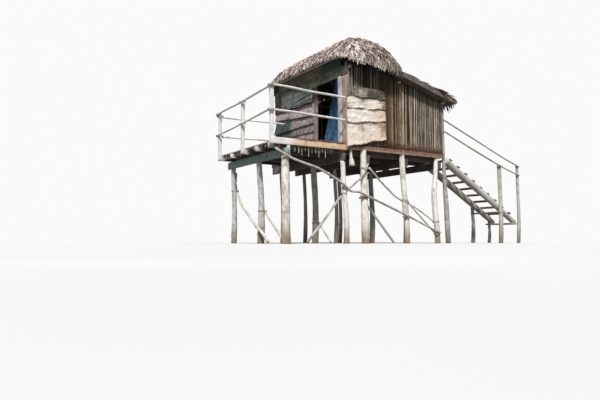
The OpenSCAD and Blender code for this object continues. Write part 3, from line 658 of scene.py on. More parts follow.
def leafStrips(name, height, past, x, y, reach, seed, lift, hang, material, spread=0.10, width=1.0,
               bright=0.0):
    # Flat three-sided strips: middle line = the way downhill, raised by `lift`, its tip curling and straying,
    # and cut so that no more than a length between hang[0] and hang[1] is past the eave
    rng = np.random.default_rng(seed)
    count, rings = len(x), thatch["rings"]
    t = np.linspace(0, 1, rings)[None, :]
    trial = downhill(height, x, y, reach, 12)[0]
    allowed = rng.uniform(*hang, count)
    if height is loafHeight:
        allowed = allowed * np.clip(0.35 + (trial[:, -1, 0] - roofLow[0]) * 2.2, 0.2, 1)
    over = past(trial[..., 0], trial[..., 1])[:, -1] / 0.97
    reach = np.maximum(reach - np.maximum(over - allowed, 0), thatch["shortest"])
    clump = softNoise(trial[:, :1], thatch["clump"], seed + 400)
    blot = softNoise(trial[:, :1], thatch["clump"] * 0.6, seed + 500)
    centres, normal = downhill(height, x, y, reach, rings)
    sideways = unitRows(np.cross(unitRows(np.gradient(centres, axis=1)), normal))
    stray = (rng.normal(0, spread, (count, 1)) + thatch["clumpShare"] * clump) * reach[:, None] * t
    curl = rng.uniform(*lift, (count, 1)) * (0.25 + 0.75 * t)
    curl = curl + rng.normal(0, thatch["tipCurl"], (count, 1)) * t ** 2
    centres = centres + sideways * stray[..., None] + normal * curl[..., None]
    proud = thatch["proud"]
    centres[..., 1] = np.clip(centres[..., 1], roofLow[1] - proud, roofHigh[1] + proud)
    roll = rng.normal(0, thatch["roll"], (count, 1, 1))
    side = unitRows(sideways * np.cos(roll) + normal * np.sin(roll))
    path = unitRows(np.gradient(centres, axis=1))
    side = unitRows(side - path * (side * path).sum(-1, keepdims=True))
    half = thatch["strip"] / 2 * width * rng.uniform(*thatch["widths"], (count, 1)) * (1 - 0.75 * t ** 3)
    across = half[..., None] * np.cos(threeSided) * 1.15
    thick = np.full_like(across, thatch["thick"])
    along = thick * np.sin(threeSided) * rng.uniform(*thatch["thicks"], (count, 1, 1))
    base = rng.normal(thatch["tone"] + bright, thatch["toneSpread"], (count, 1))
    shade = np.clip(base + thatch["blotShare"] * blot, 0, 1) + thatch["tipShade"] * (t - 0.62)
    tone = np.concatenate([np.repeat(shade, 3, axis=1), shade[:, :1], shade[:, -1:]], axis=1).ravel()
    print(name, count, "strips")
    buildPiece(name, tubeSet(centres, side, np.cross(path, side), across, along), np.clip(tone, 0, 1),
               material, smooth=False)


def thatchMaterial(name):
    # Dry leaf bleached cream, mauve grey and brown: each strip's own tone, fibres along it, specks a finger
    # wide, patches an arm wide, browner and darker to the right, partly as older leaf and partly as painted
    # shade
    material, tree = newMaterial(name, 0.9, 0.15)
    patch, speck = blotches(tree, 3.0), blotches(tree, 21.0, 3)
    fibre = grainNoise(tree, (120, 5, 1), 1.0, 4)
    value = fade(tree, addUp(tree, toneOf(tree), (patch, 0.60), (speck, 0.85), (fibre, 0.40)), 0.80, 1.90)
    pale = ramp(tree, value, [
        (0.0, (0.035, 0.026, 0.022)), (0.30, (0.13, 0.095, 0.083)), (0.52, (0.34, 0.265, 0.245)),
        (0.74, (0.66, 0.545, 0.495)), (1.0, (1.0, 0.93, 0.86))])
    brown = ramp(tree, value, [
        (0.0, (0.04, 0.029, 0.021)), (0.32, (0.115, 0.085, 0.063)), (0.58, (0.235, 0.182, 0.142)),
        (0.82, (0.43, 0.352, 0.285)), (1.0, (0.80, 0.70, 0.60))])
    # To the right: older leaf, and painted shade of the trees
    far = fade(tree, addUp(tree, objectAxis(tree, "X"), (patch, 1.4)), 1.3, 2.1)
    return dress(material, mixColour(tree, far, pale, brown), fibre, 0.35, 0.004)


def thatchCore(name):
    # The thick body below the strips: streaky dark leaf, on the object's own axes
    material, tree = newMaterial(name, 0.95, 0.1)
    streak = blotches(tree, 1.0, 6, 0.7, (18, 40, 7))
    value = addUp(tree, streak, (blotches(tree, 3.0, 3), 0.5))
    colour = ramp(tree, value, [
        (0.45, (0.07, 0.055, 0.045)), (0.75, (0.17, 0.135, 0.115)), (1.0, (0.34, 0.28, 0.25))])
    return dress(material, colour, streak, 0.9, 0.02)


def perimeterPoints(count, w, rng, steps=4001):
    # Plan points spread evenly round the loaf at the width w of each
    a = np.linspace(0, 2 * np.pi, steps)
    c, s = (np.sign(q) * np.abs(q) ** (2 / loaf["planPower"]) for q in (np.cos(a), np.sin(a)))
    ring = np.stack([roofHalf[0] * c, roofHalf[1] * s], -1)
    run = np.concatenate([[0], np.cumsum(np.linalg.norm(np.diff(ring, axis=0), axis=1))])
    place = np.interp(rng.uniform(0, run[-1], count), run, np.arange(steps))
    k = np.minimum(place.astype(int), steps - 2)
    c, s = (q[k] + (q[k + 1] - q[k]) * (place - k) for q in (c, s))
    ridge = ridgeEnd(s)
    return roofMid[0] + roofHalf[0] * w * c, roofMid[1] + (ridge + (roofHalf[1] - ridge) * w) * s


def ridgeCap(material):
    # Leaves bent over the ridge: x runs across it, z follows the loaf, raised a little at the middle
    rng = np.random.default_rng(ridgeLeaves["seed"])
    count = ridgeLeaves["count"]
    t = np.linspace(-1, 1, ridgeLeaves["rings"])[None]
    y = rng.uniform(roofMid[1] - loaf["ridgeFront"], roofMid[1] + loaf["ridgeBack"], (count, 1))
    reach = rng.uniform(*ridgeLeaves["reach"], (count, 1))
    x = roofMid[0] + rng.normal(0, 0.03, (count, 1)) + reach * t
    y = y + rng.normal(0, 0.10, (count, 1)) * t
    z = loafHeight(x, y) + rng.uniform(*ridgeLeaves["raised"], (count, 1)) - 0.012 * t ** 2
    centres = np.stack([x, y, z], -1)
    half = thatch["strip"] / 2 * rng.uniform(*thatch["widths"], (count, 1)) * (1 - 0.6 * np.abs(t) ** 3)
    rise = np.full_like(half, thatch["thick"])[..., None] * np.sin(threeSided)
    tubes = tubeSet(centres, *ringAxes(centres), half[..., None] * np.cos(threeSided), rise)
    tone = np.clip(rng.normal(ridgeLeaves["tone"], ridgeLeaves["toneSpread"], count), 0, 1)
    print("ridgeCap", count, "strips")
    buildPiece("ridgeCap", tubes, tone, material, smooth=False)


def dressRoofs():
    leaf, core = thatchMaterial("dryLeaf"), thatchCore("thatchBody")
    for node in ("thatch_roof", "side_roof"):
        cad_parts[node].data.materials.clear()
        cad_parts[node].data.materials.append(core)
    rng = np.random.default_rng(thatch["seed"])
    for k, (name, many, w0, w1, power, length, lift, hang, *rest) in enumerate(stripSets):
        w = w0 + (w1 - w0) * rng.uniform(0, 1, many) ** power
        x, y = perimeterPoints(many, w, rng)
        reach = rng.uniform(*length, many)
        leafStrips(name, loafHeight, pastLoaf, x, y, reach, 71 + k, lift, hang, leaf, *rest)
    x = rng.uniform(sideLow[0], sideHigh[0] - 0.25, thatch["sideCount"])
    y = rng.uniform(sideLow[1] + 0.03, sideHigh[1] - 0.03, len(x))
    leafStrips("sideThatchStrips", leanToHeight, pastLeanTo, x, y, rng.uniform(0.28, 0.55, len(x)), 76,
               (0.012, 0.045), (0.02, 0.10), leaf)
    x = rng.uniform(sideHigh[0] - 0.30, sideHigh[0] - 0.13, thatch["sideFringeCount"])
    y = rng.uniform(sideLow[1] + 0.02, sideHigh[1] - 0.02, len(x))
    leafStrips("sideEaveFringe", leanToHeight, pastLeanTo, x, y, rng.uniform(0.2, 0.36, len(x)), 77,
               (0.0, 0.04), (0.03, 0.16), leaf, 0.16, 0.85, 0.05)
    ridgeCap(leaf)


dressRoofs()


# Frame of the lean-to, and the gangway's treads

sideFrame = {"rows": (0.11, 1.3, 2.5, 3.85), "radius": 0.028, "thatch": 0.15, "ledgerIn": 0.088,
             "ledgerRadius": 0.038}
treadWear = {"nibble": 0.05, "rings": 26, "bow": 0.006, "bevel": 0.4, "thinnest": 0.012}


def sideRafterLines():
    # Rafters lie just below the thatch; the ledger lies below them along the hut's wall
    x = np.linspace(sideLow[0] + 0.01, sideHigh[0] - 0.15, 6)
    r = np.full(6, sideFrame["radius"])
    under = leanToHeight(x, 0 * x) - sideFrame["thatch"]
    lines = [np.column_stack([x, np.full(6, y), under - 0.003 - r, r]) for y in sideFrame["rows"]]
    low, high = np.array(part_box("side_rafters"))
    y = np.linspace(low[1], high[1], 6)
    x = hutX + sideFrame["ledgerIn"] + 0 * y
    r = sideFrame["ledgerRadius"] + 0 * y
    z = leanToHeight(x, y) - sideFrame["thatch"] - 2 * sideFrame["radius"] - r - 0.002
    return lines + [np.column_stack([x, y, z, r])]


def gangwayTreads():
    # Each tread keeps its solid's place and tilt; its worn edges come from noise
    solids = solidsOf("gangway_treads")
    low, high = (np.array(corners) for corners in zip(*boxesOf("gangway_treads")))
    top = np.array([solid[np.argmax(solid[:, 2])] for solid in solids])
    corner = np.array([solid[np.argmax(solid[:, 0])] for solid in solids])
    slope = math.atan2(float((top[:, 2] - corner[:, 2]).mean()), float((corner[:, 0] - top[:, 0]).mean()))
    rng = np.random.default_rng(131)
    count = len(solids)
    t = np.linspace(-1, 1, treadWear["rings"])[None]
    half = (high - low)[:, 1:2] / 2
    centres = ((low + high) / 2)[:, None] + np.array([0, 1.0, 0]) * (half * t)[..., None]
    centres[..., 2] += rng.uniform(-1, 1, (count, 1)) * treadWear["bow"] * t ** 2
    side = steady(centres, math.cos(slope), 0, -math.sin(slope))
    up = steady(centres, -math.sin(slope), 0, -math.cos(slope))
    width = np.hypot((corner - top)[:, 0], (corner - top)[:, 2]) / 2
    thick = (high - low)[:, 2] / 2 / math.cos(slope) - width * math.tan(slope)
    x, y = plankProfile(width, np.maximum(thick, treadWear["thinnest"]), treadWear["bevel"])
    wear = 1 - treadWear["nibble"] * np.abs(softNoise(centres, 0.2, 132))[..., None]
    print("gangwayTreads", count, "at a slope of", round(math.degrees(slope), 1))
    buildPiece("gangwayTreads", tubeSet(centres, side, up, x[:, None] * wear, y[:, None] * wear),
               rng.uniform(0, 1, count), wood["tread"], ("gangway_treads",))


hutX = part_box("front_wall")[1][0]
roundLines("sideRafters", sideRafterLines(), ["side_rafters"], "pole", "grey_pole", 24)
gangwayTreads()


# Stick walls: upright sticks tied side by side, with rails behind them

stickWalls = {"spacing": 0.031, "radius": (0.010, 0.020), "sides": 7, "rings": 9, "jitter": 0.008,
              "missing": 0.29, "lean": 0.008, "sway": 0.006, "bulge": 0.003, "endDoor": (0.15, 1.0),
              "backSpacing": 0.032, "backRadius": 0.021, "backDepth": 0.027,
              "rail": 0.016, "railRings": 24, "railDepth": 0.064}
# Partly the sticks' own rusty brown, partly painted shade of the trees
rustAndShadeSpot = (1.65, 0.85)  # Where along X the sticks are rustiest, and how far that reaches
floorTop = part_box("house_floor")[1][2]


def wallStickMaterial(name, litter, *colours):
    # Each stick has its own tone, some redder; patches of dirt cross them, and leaf dirt lies low on the wall
    material, tree = newMaterial(name, 0.88, 0.15)
    tone = toneOf(tree)
    streak = grainNoise(tree, (90, 9, 1), 1.0, 6, 0.65)
    patch = blotches(tree, 3.2, 5, 0.65, (1, 1, 0.8))
    scuff = blotches(tree, 13.0, 5, 0.7, (1, 1, 0.55))
    value = fade(tree, addUp(tree, tone, (streak, 0.45), (patch, 0.65), (scuff, 0.9)), 0.90, 2.10)
    colour = ramp(tree, value, list(zip((0.0, 0.28, 0.52, 0.76, 1.0), colours)))
    own = fade(tree, calc(tree, "FRACT", calc(tree, "MULTIPLY", tone, 37.0)), 0.70, 0.95, 0.0, 0.7)
    colour = mixColour(tree, own, colour, (0.95, 0.66, 0.44), "MULTIPLY")
    # Browner and darker around one place along X: real rust mixed with painted shade of the trees
    away = calc(tree, "ABSOLUTE", calc(tree, "SUBTRACT", objectAxis(tree, "X"), rustAndShadeSpot[0]))
    rustAndShade = fade(tree, addUp(tree, away, (patch, 0.6)), rustAndShadeSpot[1], 0.4, 0.0, 0.8)
    colour = mixColour(tree, rustAndShade, colour, (1.0, 0.76, 0.55), "MULTIPLY")
    height = addUp(tree, objectAxis(tree, "Z"), (blotches(tree, 16.0, 4, 0.7), 0.45))
    low = fade(tree, height, floorTop + 0.40, floorTop + 0.60, litter, 0.0)
    return dress(material, mixColour(tree, low, colour, leafDirt(tree)), streak, 0.5, 0.004)


standingSticks = wallStickMaterial("standingSticks", 0.85, (0.045, 0.035, 0.026), (0.14, 0.11, 0.08),
                                   (0.29, 0.24, 0.18), (0.50, 0.44, 0.36), (0.76, 0.71, 0.62))
# A darker copy of the same sticks: painted shade for the front wall under the eave
shadedSticks = wallStickMaterial("shadedSticks", 0.6, (0.035, 0.032, 0.026), (0.12, 0.108, 0.088),
                                 (0.20, 0.182, 0.15), (0.30, 0.275, 0.23), (0.48, 0.44, 0.375))


def stickWall(name, node, start, end, low, high, seed, railHeights=(), toneShift=0.0, gap=None,
              look=standingSticks, missing=stickWalls["missing"]):
    # Sticks at jittered places from start to end (plan points), some of them missing: each stands from low to
    # high(s), and a closed row of dark sticks stands behind them, as painted shade of the room behind the
    # gaps
    rng = np.random.default_rng(seed)
    start, end = np.array(start, float), np.array(end, float)
    length = np.linalg.norm(end - start)
    run = (end - start) / length
    outward = np.array([run[1], -run[0]])
    count, backs = int(length / stickWalls["spacing"]), int(length / stickWalls["backSpacing"])
    s = (np.arange(count) + 0.5) / count * length + rng.normal(0, 0.004, count)
    s = np.clip(np.concatenate([s, (np.arange(backs) + 0.5) / backs * length]), 0.012, length - 0.012)
    isBack = np.arange(count + backs) >= count
    there = isBack | (rng.uniform(0, 1, len(s)) > missing)
    if gap:
        there = there & ((s < gap[0]) | (s > gap[1]))
    isBack, s = isBack[there][:, None], s[there]
    count = len(s)
    t = np.linspace(0, 1, stickWalls["rings"])[None]
    bottom, top = low + rng.uniform(-0.012, 0.03, count), high(s)
    wave = {key: rng.normal(0, stickWalls[key], (count, 1)) for key in ("lean", "sway", "jitter", "bulge")}
    lean = (wave["lean"] * t + wave["sway"] * np.sin(np.pi * t * 2)) * np.where(isBack, 0.3, 1)
    depth = wave["jitter"] + wave["bulge"] * np.sin(np.pi * t * 3)
    depth = np.where(isBack, -stickWalls["backDepth"] + 0.2 * depth, depth)
    plan = start + run * (s[:, None, None] + lean[..., None]) + outward * depth[..., None]
    z = bottom[:, None] + (top - bottom)[:, None] * t
    centres = np.concatenate([plan, z[..., None]], -1)
    radius = rng.uniform(*stickWalls["radius"], (count, 1)) * (1 - 0.15 * t) * (
        1 + 0.08 * np.sin(t * rng.uniform(8, 20, (count, 1))))
    radius = np.where(isBack, stickWalls["backRadius"], radius)[..., None]
    side, up = steady(centres, 1, 0, 0), steady(centres, 0, 1, 0)
    # The back row takes the darkest tone: painted shade seen through the gaps
    tone = np.where(isBack[:, 0], -0.75, np.clip(rng.normal(0.55 + toneShift, 0.30, count), 0, 1))
    sticks = roundTubes(centres, side, up, radius, stickWalls["sides"])
    buildPiece(name, sticks, tone, look, (node,))
    print(name, count, "sticks")
    if not railHeights:
        return
    along = np.linspace(0.01, length - 0.01, stickWalls["railRings"])[None]
    plan = start + run * along[..., None] - outward * stickWalls["railDepth"]
    level = np.array(railHeights)[:, None]
    level = level + 0.008 * np.sin(along * 3 + np.arange(len(level))[:, None])
    line = np.concatenate([np.broadcast_to(plan, (*level.shape, 2)), level[..., None]], -1)
    radius = stickWalls["rail"] * (1 + 0.06 * np.sin(along * 9))[..., None]
    rails = roundTubes(line, *ringAxes(line), radius, 8)
    buildPiece(name + "Rails", rails, 0.4, wood["grey_pole"])


floorLow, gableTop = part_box("front_wall")[0][2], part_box("front_wall")[1][2]
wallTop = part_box("wall_posts")[1][2]
frontY, backY = -0.015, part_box("back_wall")[1][1] - 0.021
sideX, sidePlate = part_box("end_wall")[1][0] - 0.021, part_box("end_wall")[1][2]
sideEnd, backFoot = sideX + 0.015, floorLow - 0.12
gableX = (0.13, 1.57)
hutRails, sideRails = (3.1, 3.75, 4.4, 4.88), (3.0, 3.6, 4.15)


def hutTop(x):
    # Up to the thatch between the gable's ends, up to the plate beside them
    return np.where((x > gableX[0]) & (x < gableX[1]), gableTop, wallTop)


def sideTop(x):
    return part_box("side_front_wall")[1][2] - leanTo["slope"] * (x - hutX - 0.06) - 0.01


# The front wall's lower tone and darker sticks are painted shade of the eave
stickWall("frontWall", "front_wall", (0.02, frontY), (hutX, frontY), floorLow, lambda s: hutTop(0.02 + s), 81,
          hutRails, toneShift=-0.10, look=shadedSticks, missing=0.16)
stickWall("backWall", "back_wall", (hutX, backY), (0.02, backY), backFoot, lambda s: hutTop(hutX - s), 82,
          hutRails)
# The side room's front wall is toned down a little as painted shade of the leaves
stickWall("sideFrontWall", "side_front_wall", (hutX, frontY), (sideEnd, frontY), floorLow - 0.05,
          lambda s: sideTop(hutX + s), 83, sideRails, toneShift=-0.03)
stickWall("sideBackWall", "side_back_wall", (sideEnd, backY), (hutX, backY), backFoot,
          lambda s: sideTop(sideEnd - s), 84, sideRails)
stickWall("endWall", "end_wall", (sideX, 0.0), (sideX, backY - 0.03), backFoot,
          lambda s: np.full(s.shape, sidePlate), 85, gap=stickWalls["endDoor"])


# Floors of split slats, across the joists

floors = {"slat": 0.078, "gap": 0.009, "rings": 14, "bow": 0.003}
postNotch = (0.13, 0.245, 0.10)  # From x, to x, back to y


def slatFloor(name, node, seed, notch=None):
    # One slat after another along X, each as deep as the floor, with ends that don't line up
    low, high = np.array(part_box(node))
    rng = np.random.default_rng(seed)
    count = int((high[0] - low[0]) / (floors["slat"] + floors["gap"]))
    edges = low[0] + (high[0] - low[0]) * np.arange(count + 1) / count
    boxes = []
    for k in range(count):
        x0, x1 = edges[k] + floors["gap"] / 2, edges[k + 1] - floors["gap"] / 2
        y0, y1 = low[1] + rng.uniform(0, 0.012), high[1] - rng.uniform(0, 0.03)
        if notch and x1 > notch[0] and x0 < notch[1]:
            y0 = notch[2]
        z0, z1 = low[2] + rng.uniform(0, 0.012), high[2] - rng.uniform(0, 0.006)
        boxes.append((np.array([x0, y0, z0]), np.array([x1, y1, z1])))
    plankSet(name, boxes, "floor_slats", "floor_slats", seed, (node,), rings=floors["rings"],
             bow=floors["bow"])


slatFloor("deckFloor", "deck_floor", 91)
slatFloor("houseFloor", "house_floor", 92, postNotch)


# Lapped boards of the door wall

lapped = {"laps": (2.98, 3.22, 3.47, 3.69, 4.05), "slopes": (0.0, 0.01, 0.03, -0.01, 0.085), "cover": 0.030,
          "thick": 0.022, "lean": 0.20, "leanSpread": 0.012, "edgeWave": 0.006, "warp": 0.003, "wear": 0.035,
          "bevel": 0.5, "rings": 110}


def lappedBoards():
    # Boards along Y between the lap heights, each leaning out over the next one below, with wavy worn edges
    low, high = np.array(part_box("door_wall_boards"))
    level = np.array([low[2], *lapped["laps"], high[2]])[:, None]
    slope = np.array([0, *lapped["slopes"], 0])[:, None]
    rows = len(level) - 1
    rng = np.random.default_rng(101)
    t = np.linspace(0, 1, lapped["rings"])[None]
    y = low[1] + (high[1] - low[1]) * t * np.ones((rows, 1))
    wave = np.sin(y[:1] * 2.3 + rng.uniform(0, 6, (rows + 1, 1)))
    edges = level + slope * (y[:1] - y.mean()) + lapped["edgeWave"] * wave
    edges[0], edges[-1] = low[2] + lapped["cover"], high[2]
    bottom, top = edges[:-1] - lapped["cover"], edges[1:]
    x = (low[0] + high[0]) / 2 + 0.004 + lapped["warp"] * np.sin(y * 4 + rng.uniform(0, 6, (rows, 1)))
    centres = np.stack([x, y, (bottom + top) / 2], -1)
    lean = lapped["lean"] + rng.normal(0, lapped["leanSpread"], (rows, 1))
    side = np.stack([-np.sin(lean) + 0 * y, 0 * y, -np.cos(lean) + 0 * y], -1)
    half = (top - bottom) / 2
    px, py = plankProfile(half.mean(1), np.full(rows, lapped["thick"] / 2), lapped["bevel"])
    edge = (half / half.mean(1, keepdims=True) + lapped["wear"] * softNoise(centres, 0.16, 102))[..., None]
    tubes = tubeSet(centres, side, np.cross(steady(side, 0, 1, 0), side), px[:, None] * edge,
                    py[:, None] * np.ones_like(edge))
    buildPiece("doorWallBoards", tubes, rng.uniform(0.2, 0.9, rows), wood["board"],
               ("door_wall_boards",))
    print("doorWallBoards", rows, "boards")


lappedBoards()


# Mats on the front wall: four tiers of plaited leaf with ragged lower edges, each lying over the one below

mats = {"width": 1.42, "thick": 0.012, "columns": 124, "rows": 26, "lean": math.radians(2.4), "leaf": 0.034,
        "ragged": 0.006, "curl": 0.036, "fray": 0.022, "folds": 0.010, "fineFolds": 0.006, "groove": 0.0012,
        "sag": 0.014, "shadow": 0.70, "toneSpread": 0.05, "backTone": 0.4}
# Each tier's foot at the left and at the right, its top and its tone; the top tier's low tone is painted
# shade
matTiers = np.array([(2.70, 3.03, 3.64, 0.55), (3.40, 3.56, 3.99, 0.62), (3.82, 3.91, 4.26, 0.50),
                     (4.17, 4.21, 4.48, -0.05)])


def matMaterial():
    # Dry leaf mat: cream to peach, finely wrinkled, blotched brown, rusty towards the right end
    material, tree = newMaterial("leafMat", 0.85, 0.2)
    wrinkle = blotches(tree, 1.3, 5, 0.7, (9, 1, 40))
    fibre = blotches(tree, 1.0, 4, 0.6, (60, 1, 7))
    patch = blotches(tree, 3.4, 6, 0.7, (1, 1, 1.6))
    value = fade(tree, addUp(tree, toneOf(tree), (fibre, 0.30), (wrinkle, 0.45), (patch, 0.65)), 0.55, 1.65)
    cream = ramp(tree, value, [
        (0.0, (0.10, 0.083, 0.066)), (0.22, (0.31, 0.27, 0.225)), (0.40, (0.62, 0.53, 0.44)),
        (0.60, (0.90, 0.80, 0.69)), (1.0, (1.0, 0.95, 0.88))])
    peach = ramp(tree, value, [
        (0.0, (0.12, 0.07, 0.05)), (0.25, (0.42, 0.26, 0.17)), (0.48, (0.80, 0.60, 0.45)),
        (1.0, (1.0, 0.89, 0.78))])
    warm = addUp(tree, objectAxis(tree, "X"), (objectAxis(tree, "Z"), -0.55), (patch, 1.3))
    colour = mixColour(tree, fade(tree, warm, -0.75, 0.20), cream, peach)
    return dress(material, colour, calc(tree, "ADD", fibre, wrinkle), 0.9, 0.008)


def downAndUp(face, back):
    return np.concatenate([face, back[..., ::-1]], -1)


def frontMats():
    # A tier's section runs down its face and up its back; place = lean * depth + folds + leaf grooves +
    # curled foot
    low, high = np.array(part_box("front_mats"))
    rng = np.random.default_rng(111)
    tiers, columns = len(matTiers), mats["columns"]
    x = np.linspace(low[0], high[0], columns)[None]
    along = (x - low[0]) / mats["width"]
    leafCount = int(mats["width"] / mats["leaf"]) + 1
    leafIndex = np.minimum((along * leafCount).astype(int), leafCount - 1)[0]
    z0, z1, top, tone = matTiers.T[..., None]
    k = np.arange(tiers)[:, None]
    bottom = z0 + (z1 - z0) * along + mats["sag"] * np.sin(np.radians((x - low[0]) * 500 + 120 * k))
    bottom = bottom + rng.normal(0, mats["ragged"], (tiers, leafCount))[:, leafIndex]
    topLine = top + rng.normal(0, 0.004, (tiers, leafCount))[:, leafIndex]
    v = np.linspace(0, 1, mats["rows"])[None, None]
    z = topLine[..., None] + (bottom - topLine)[..., None] * v
    depth = topLine[..., None] - z
    spots = np.stack([x[..., None] + 0 * z, 0 * z, z + 7 * k[..., None]], -1)
    folds = mats["folds"] * softNoise(spots * [0.6, 1, 3.0], 0.50, 112)
    folds = folds + mats["fineFolds"] * softNoise(spots * [0.5, 1, 2.2], 0.12, 113)
    groove = mats["groove"] * np.abs(np.sin(np.pi * along * leafCount))[..., None]
    curl = mats["curl"] * v ** 9 * (0.75 + 0.45 * softNoise(spots * [1, 1, 0.2], 0.45, 114))
    out = math.sin(mats["lean"]) * depth + 0.018 * np.sin(np.pi * v) * 0.4
    face = high[1] - 0.014 - (out + (folds + groove) * np.minimum(6 * v, 1) + curl)
    across, upright = downAndUp(face, face + mats["thick"] * (1 - 0.6 * v ** 4)), downAndUp(z, z)
    centres = np.stack([np.broadcast_to(x, (tiers, columns)), across.mean(-1), upright.mean(-1)], -1)
    tubes = tubeSet(centres, steady(centres, 0, 1, 0), steady(centres, 0, 0, 1), across - centres[..., 1:2],
                    upright - centres[..., 2:])
    fray = along[..., None] ** 25 * mats["fray"] * (softNoise(spots * [0, 0, 1], 0.06, 116) - 1)
    points = tubes[0].reshape(tiers, -1, 3)
    points[:, :-2, 0] += downAndUp(fray, fray).reshape(tiers, -1)
    points[:, -1, 0] -= mats["fray"]
    shadow = -mats["shadow"] * np.exp(-((depth - 0.02) / 0.075) ** 2) * (k[..., None] < 3) - 0.25 * v ** 30
    stain = 0.20 * softNoise(spots * [1, 1, 1.6], 0.7, 115) - 0.22 * along[..., None] ** 3
    leafTone = rng.normal(0, mats["toneSpread"], (tiers, leafCount))[:, leafIndex]
    shade = tone[..., None] + leafTone[..., None] + shadow + stain
    shade = downAndUp(shade, shade - mats["backTone"]).reshape(tiers, -1)
    shade = np.concatenate([shade, np.broadcast_to(tone, (tiers, 2))], axis=1).ravel()
    print("frontMats", tiers, "tiers")
    buildPiece("frontMats", tubes, shade, matMaterial(), ("front_mats",))


frontMats()


# Cloth: the gathered door curtain and the blind that hangs over the window

curtain = {"flat": (1.35, 1.97), "folds": 7, "foldDrift": 0.035, "smallFolds": 0.22, "topWidth": 0.10,
           "fullWidth": 0.94, "footRise": 0.16, "columns": 150, "rows": 80}
blind = {"hem": 4.365, "hemRise": 0.08, "topRise": 0.27, "sag": 0.012, "foldDepth": 0.005, "creaseTop": 4.705,
         "creaseFall": 0.12, "bulge": 0.024, "crease": 0.012, "lowBulge": 0.008, "rollRadius": 0.017,
         "columns": 170, "rows": 60}


def clothMaterial(name, light, dark, scale, dirtAndShade, sheen):
    # Woven cloth: fine threads both ways, faded in patches, with painted shade that darkens its upper part
    material, tree = newMaterial(name, 0.92, 0.1, sheen)
    place = put(tree, "UVMap", {"uv_map": "grain"}).outputs["UV"]
    colour = ramp(tree, blotches(tree, scale, 5, 0.65), [(0.32, dark), (0.62, light)])
    warp, weft = (put(tree, "TexWave", {"bands_direction": way}, Vector=place, Scale=160.0, Distortion=1.0)
                  .outputs["Fac"] for way in "XY")
    # Painted shade: darker upwards, from the first height given to the second
    shadedTop = fade(tree, objectAxis(tree, "Z"), *dirtAndShade[:2], 0.0, dirtAndShade[2])
    colour = mixColour(tree, shadedTop, colour, darker(dark, 0.4))
    return dress(material, colour, calc(tree, "ADD", warp, weft), 0.25, 0.002)


def clothGrid(name, grid, flatSize, material, replaced):
    # A grid of points (rows, columns, 3) as one thin sheet, its map in flat metres
    rows, columns = grid.shape[:2]
    i, j = np.meshgrid(np.arange(rows - 1), np.arange(columns - 1), indexing="ij")
    first = i * columns + j
    quads = np.stack([first, first + columns, first + columns + 1, first + 1], -1).reshape(-1, 4)
    u, v = np.meshgrid(np.linspace(0, flatSize[0], columns), np.linspace(0, flatSize[1], rows))
    uv = np.stack([u, v], -1).reshape(-1, 2)[quads]
    return buildPiece(name, (grid.reshape(-1, 3), [quads], [uv], 1), 0.5, material, replaced)


def doorCurtain():
    # Pleats x = A sin(2 pi n u) across a width that grows downwards, A solved so that each row keeps the
    # flat width
    low, high = np.array(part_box("door_curtain"))
    u = np.linspace(0, 1, curtain["columns"])[None]
    v = np.linspace(0, 1, curtain["rows"])[:, None]
    width = curtain["topWidth"] + (curtain["fullWidth"] - curtain["topWidth"]) * v ** 1.15
    phase = 2 * np.pi * curtain["folds"] * (u + curtain["foldDrift"] * np.sin(3 * v + 5 * u))
    wave = np.sin(phase) + curtain["smallFolds"] * np.sin(2.3 * phase + 4 * v)
    small, large = np.zeros_like(v), np.full_like(v, 0.3)
    for step in range(30):
        size = (small + large) / 2
        run = np.hypot(np.diff(width * u, axis=1), np.diff(size * wave, axis=1)).sum(1, keepdims=True)
        short = run < curtain["flat"][0]
        small, large = np.where(short, size, small), np.where(short, large, size)
    x = (low[0] + high[0]) / 2 + size * wave
    y = low[1] + 0.004 + width * u
    z = high[2] - 0.01 - (curtain["flat"][1] - curtain["footRise"] * (1 - u) ** 2) * v + 0 * x
    # Blue curtain: colours darkened in part as painted shade, and painted shade over its upper part
    blue = clothMaterial("blueCloth", (0.09, 0.21, 0.35), (0.018, 0.052, 0.11), 9.0, (3.2, 4.1, 0.94), 0.08)
    cloth = clothGrid("doorCurtain", np.stack([x, y, z], -1), curtain["flat"], blue,
                      ("door_curtain",))
    print("doorCurtain pleats", round(float(size.min()), 3), "to", round(float(size.max()), 3), "m deep")


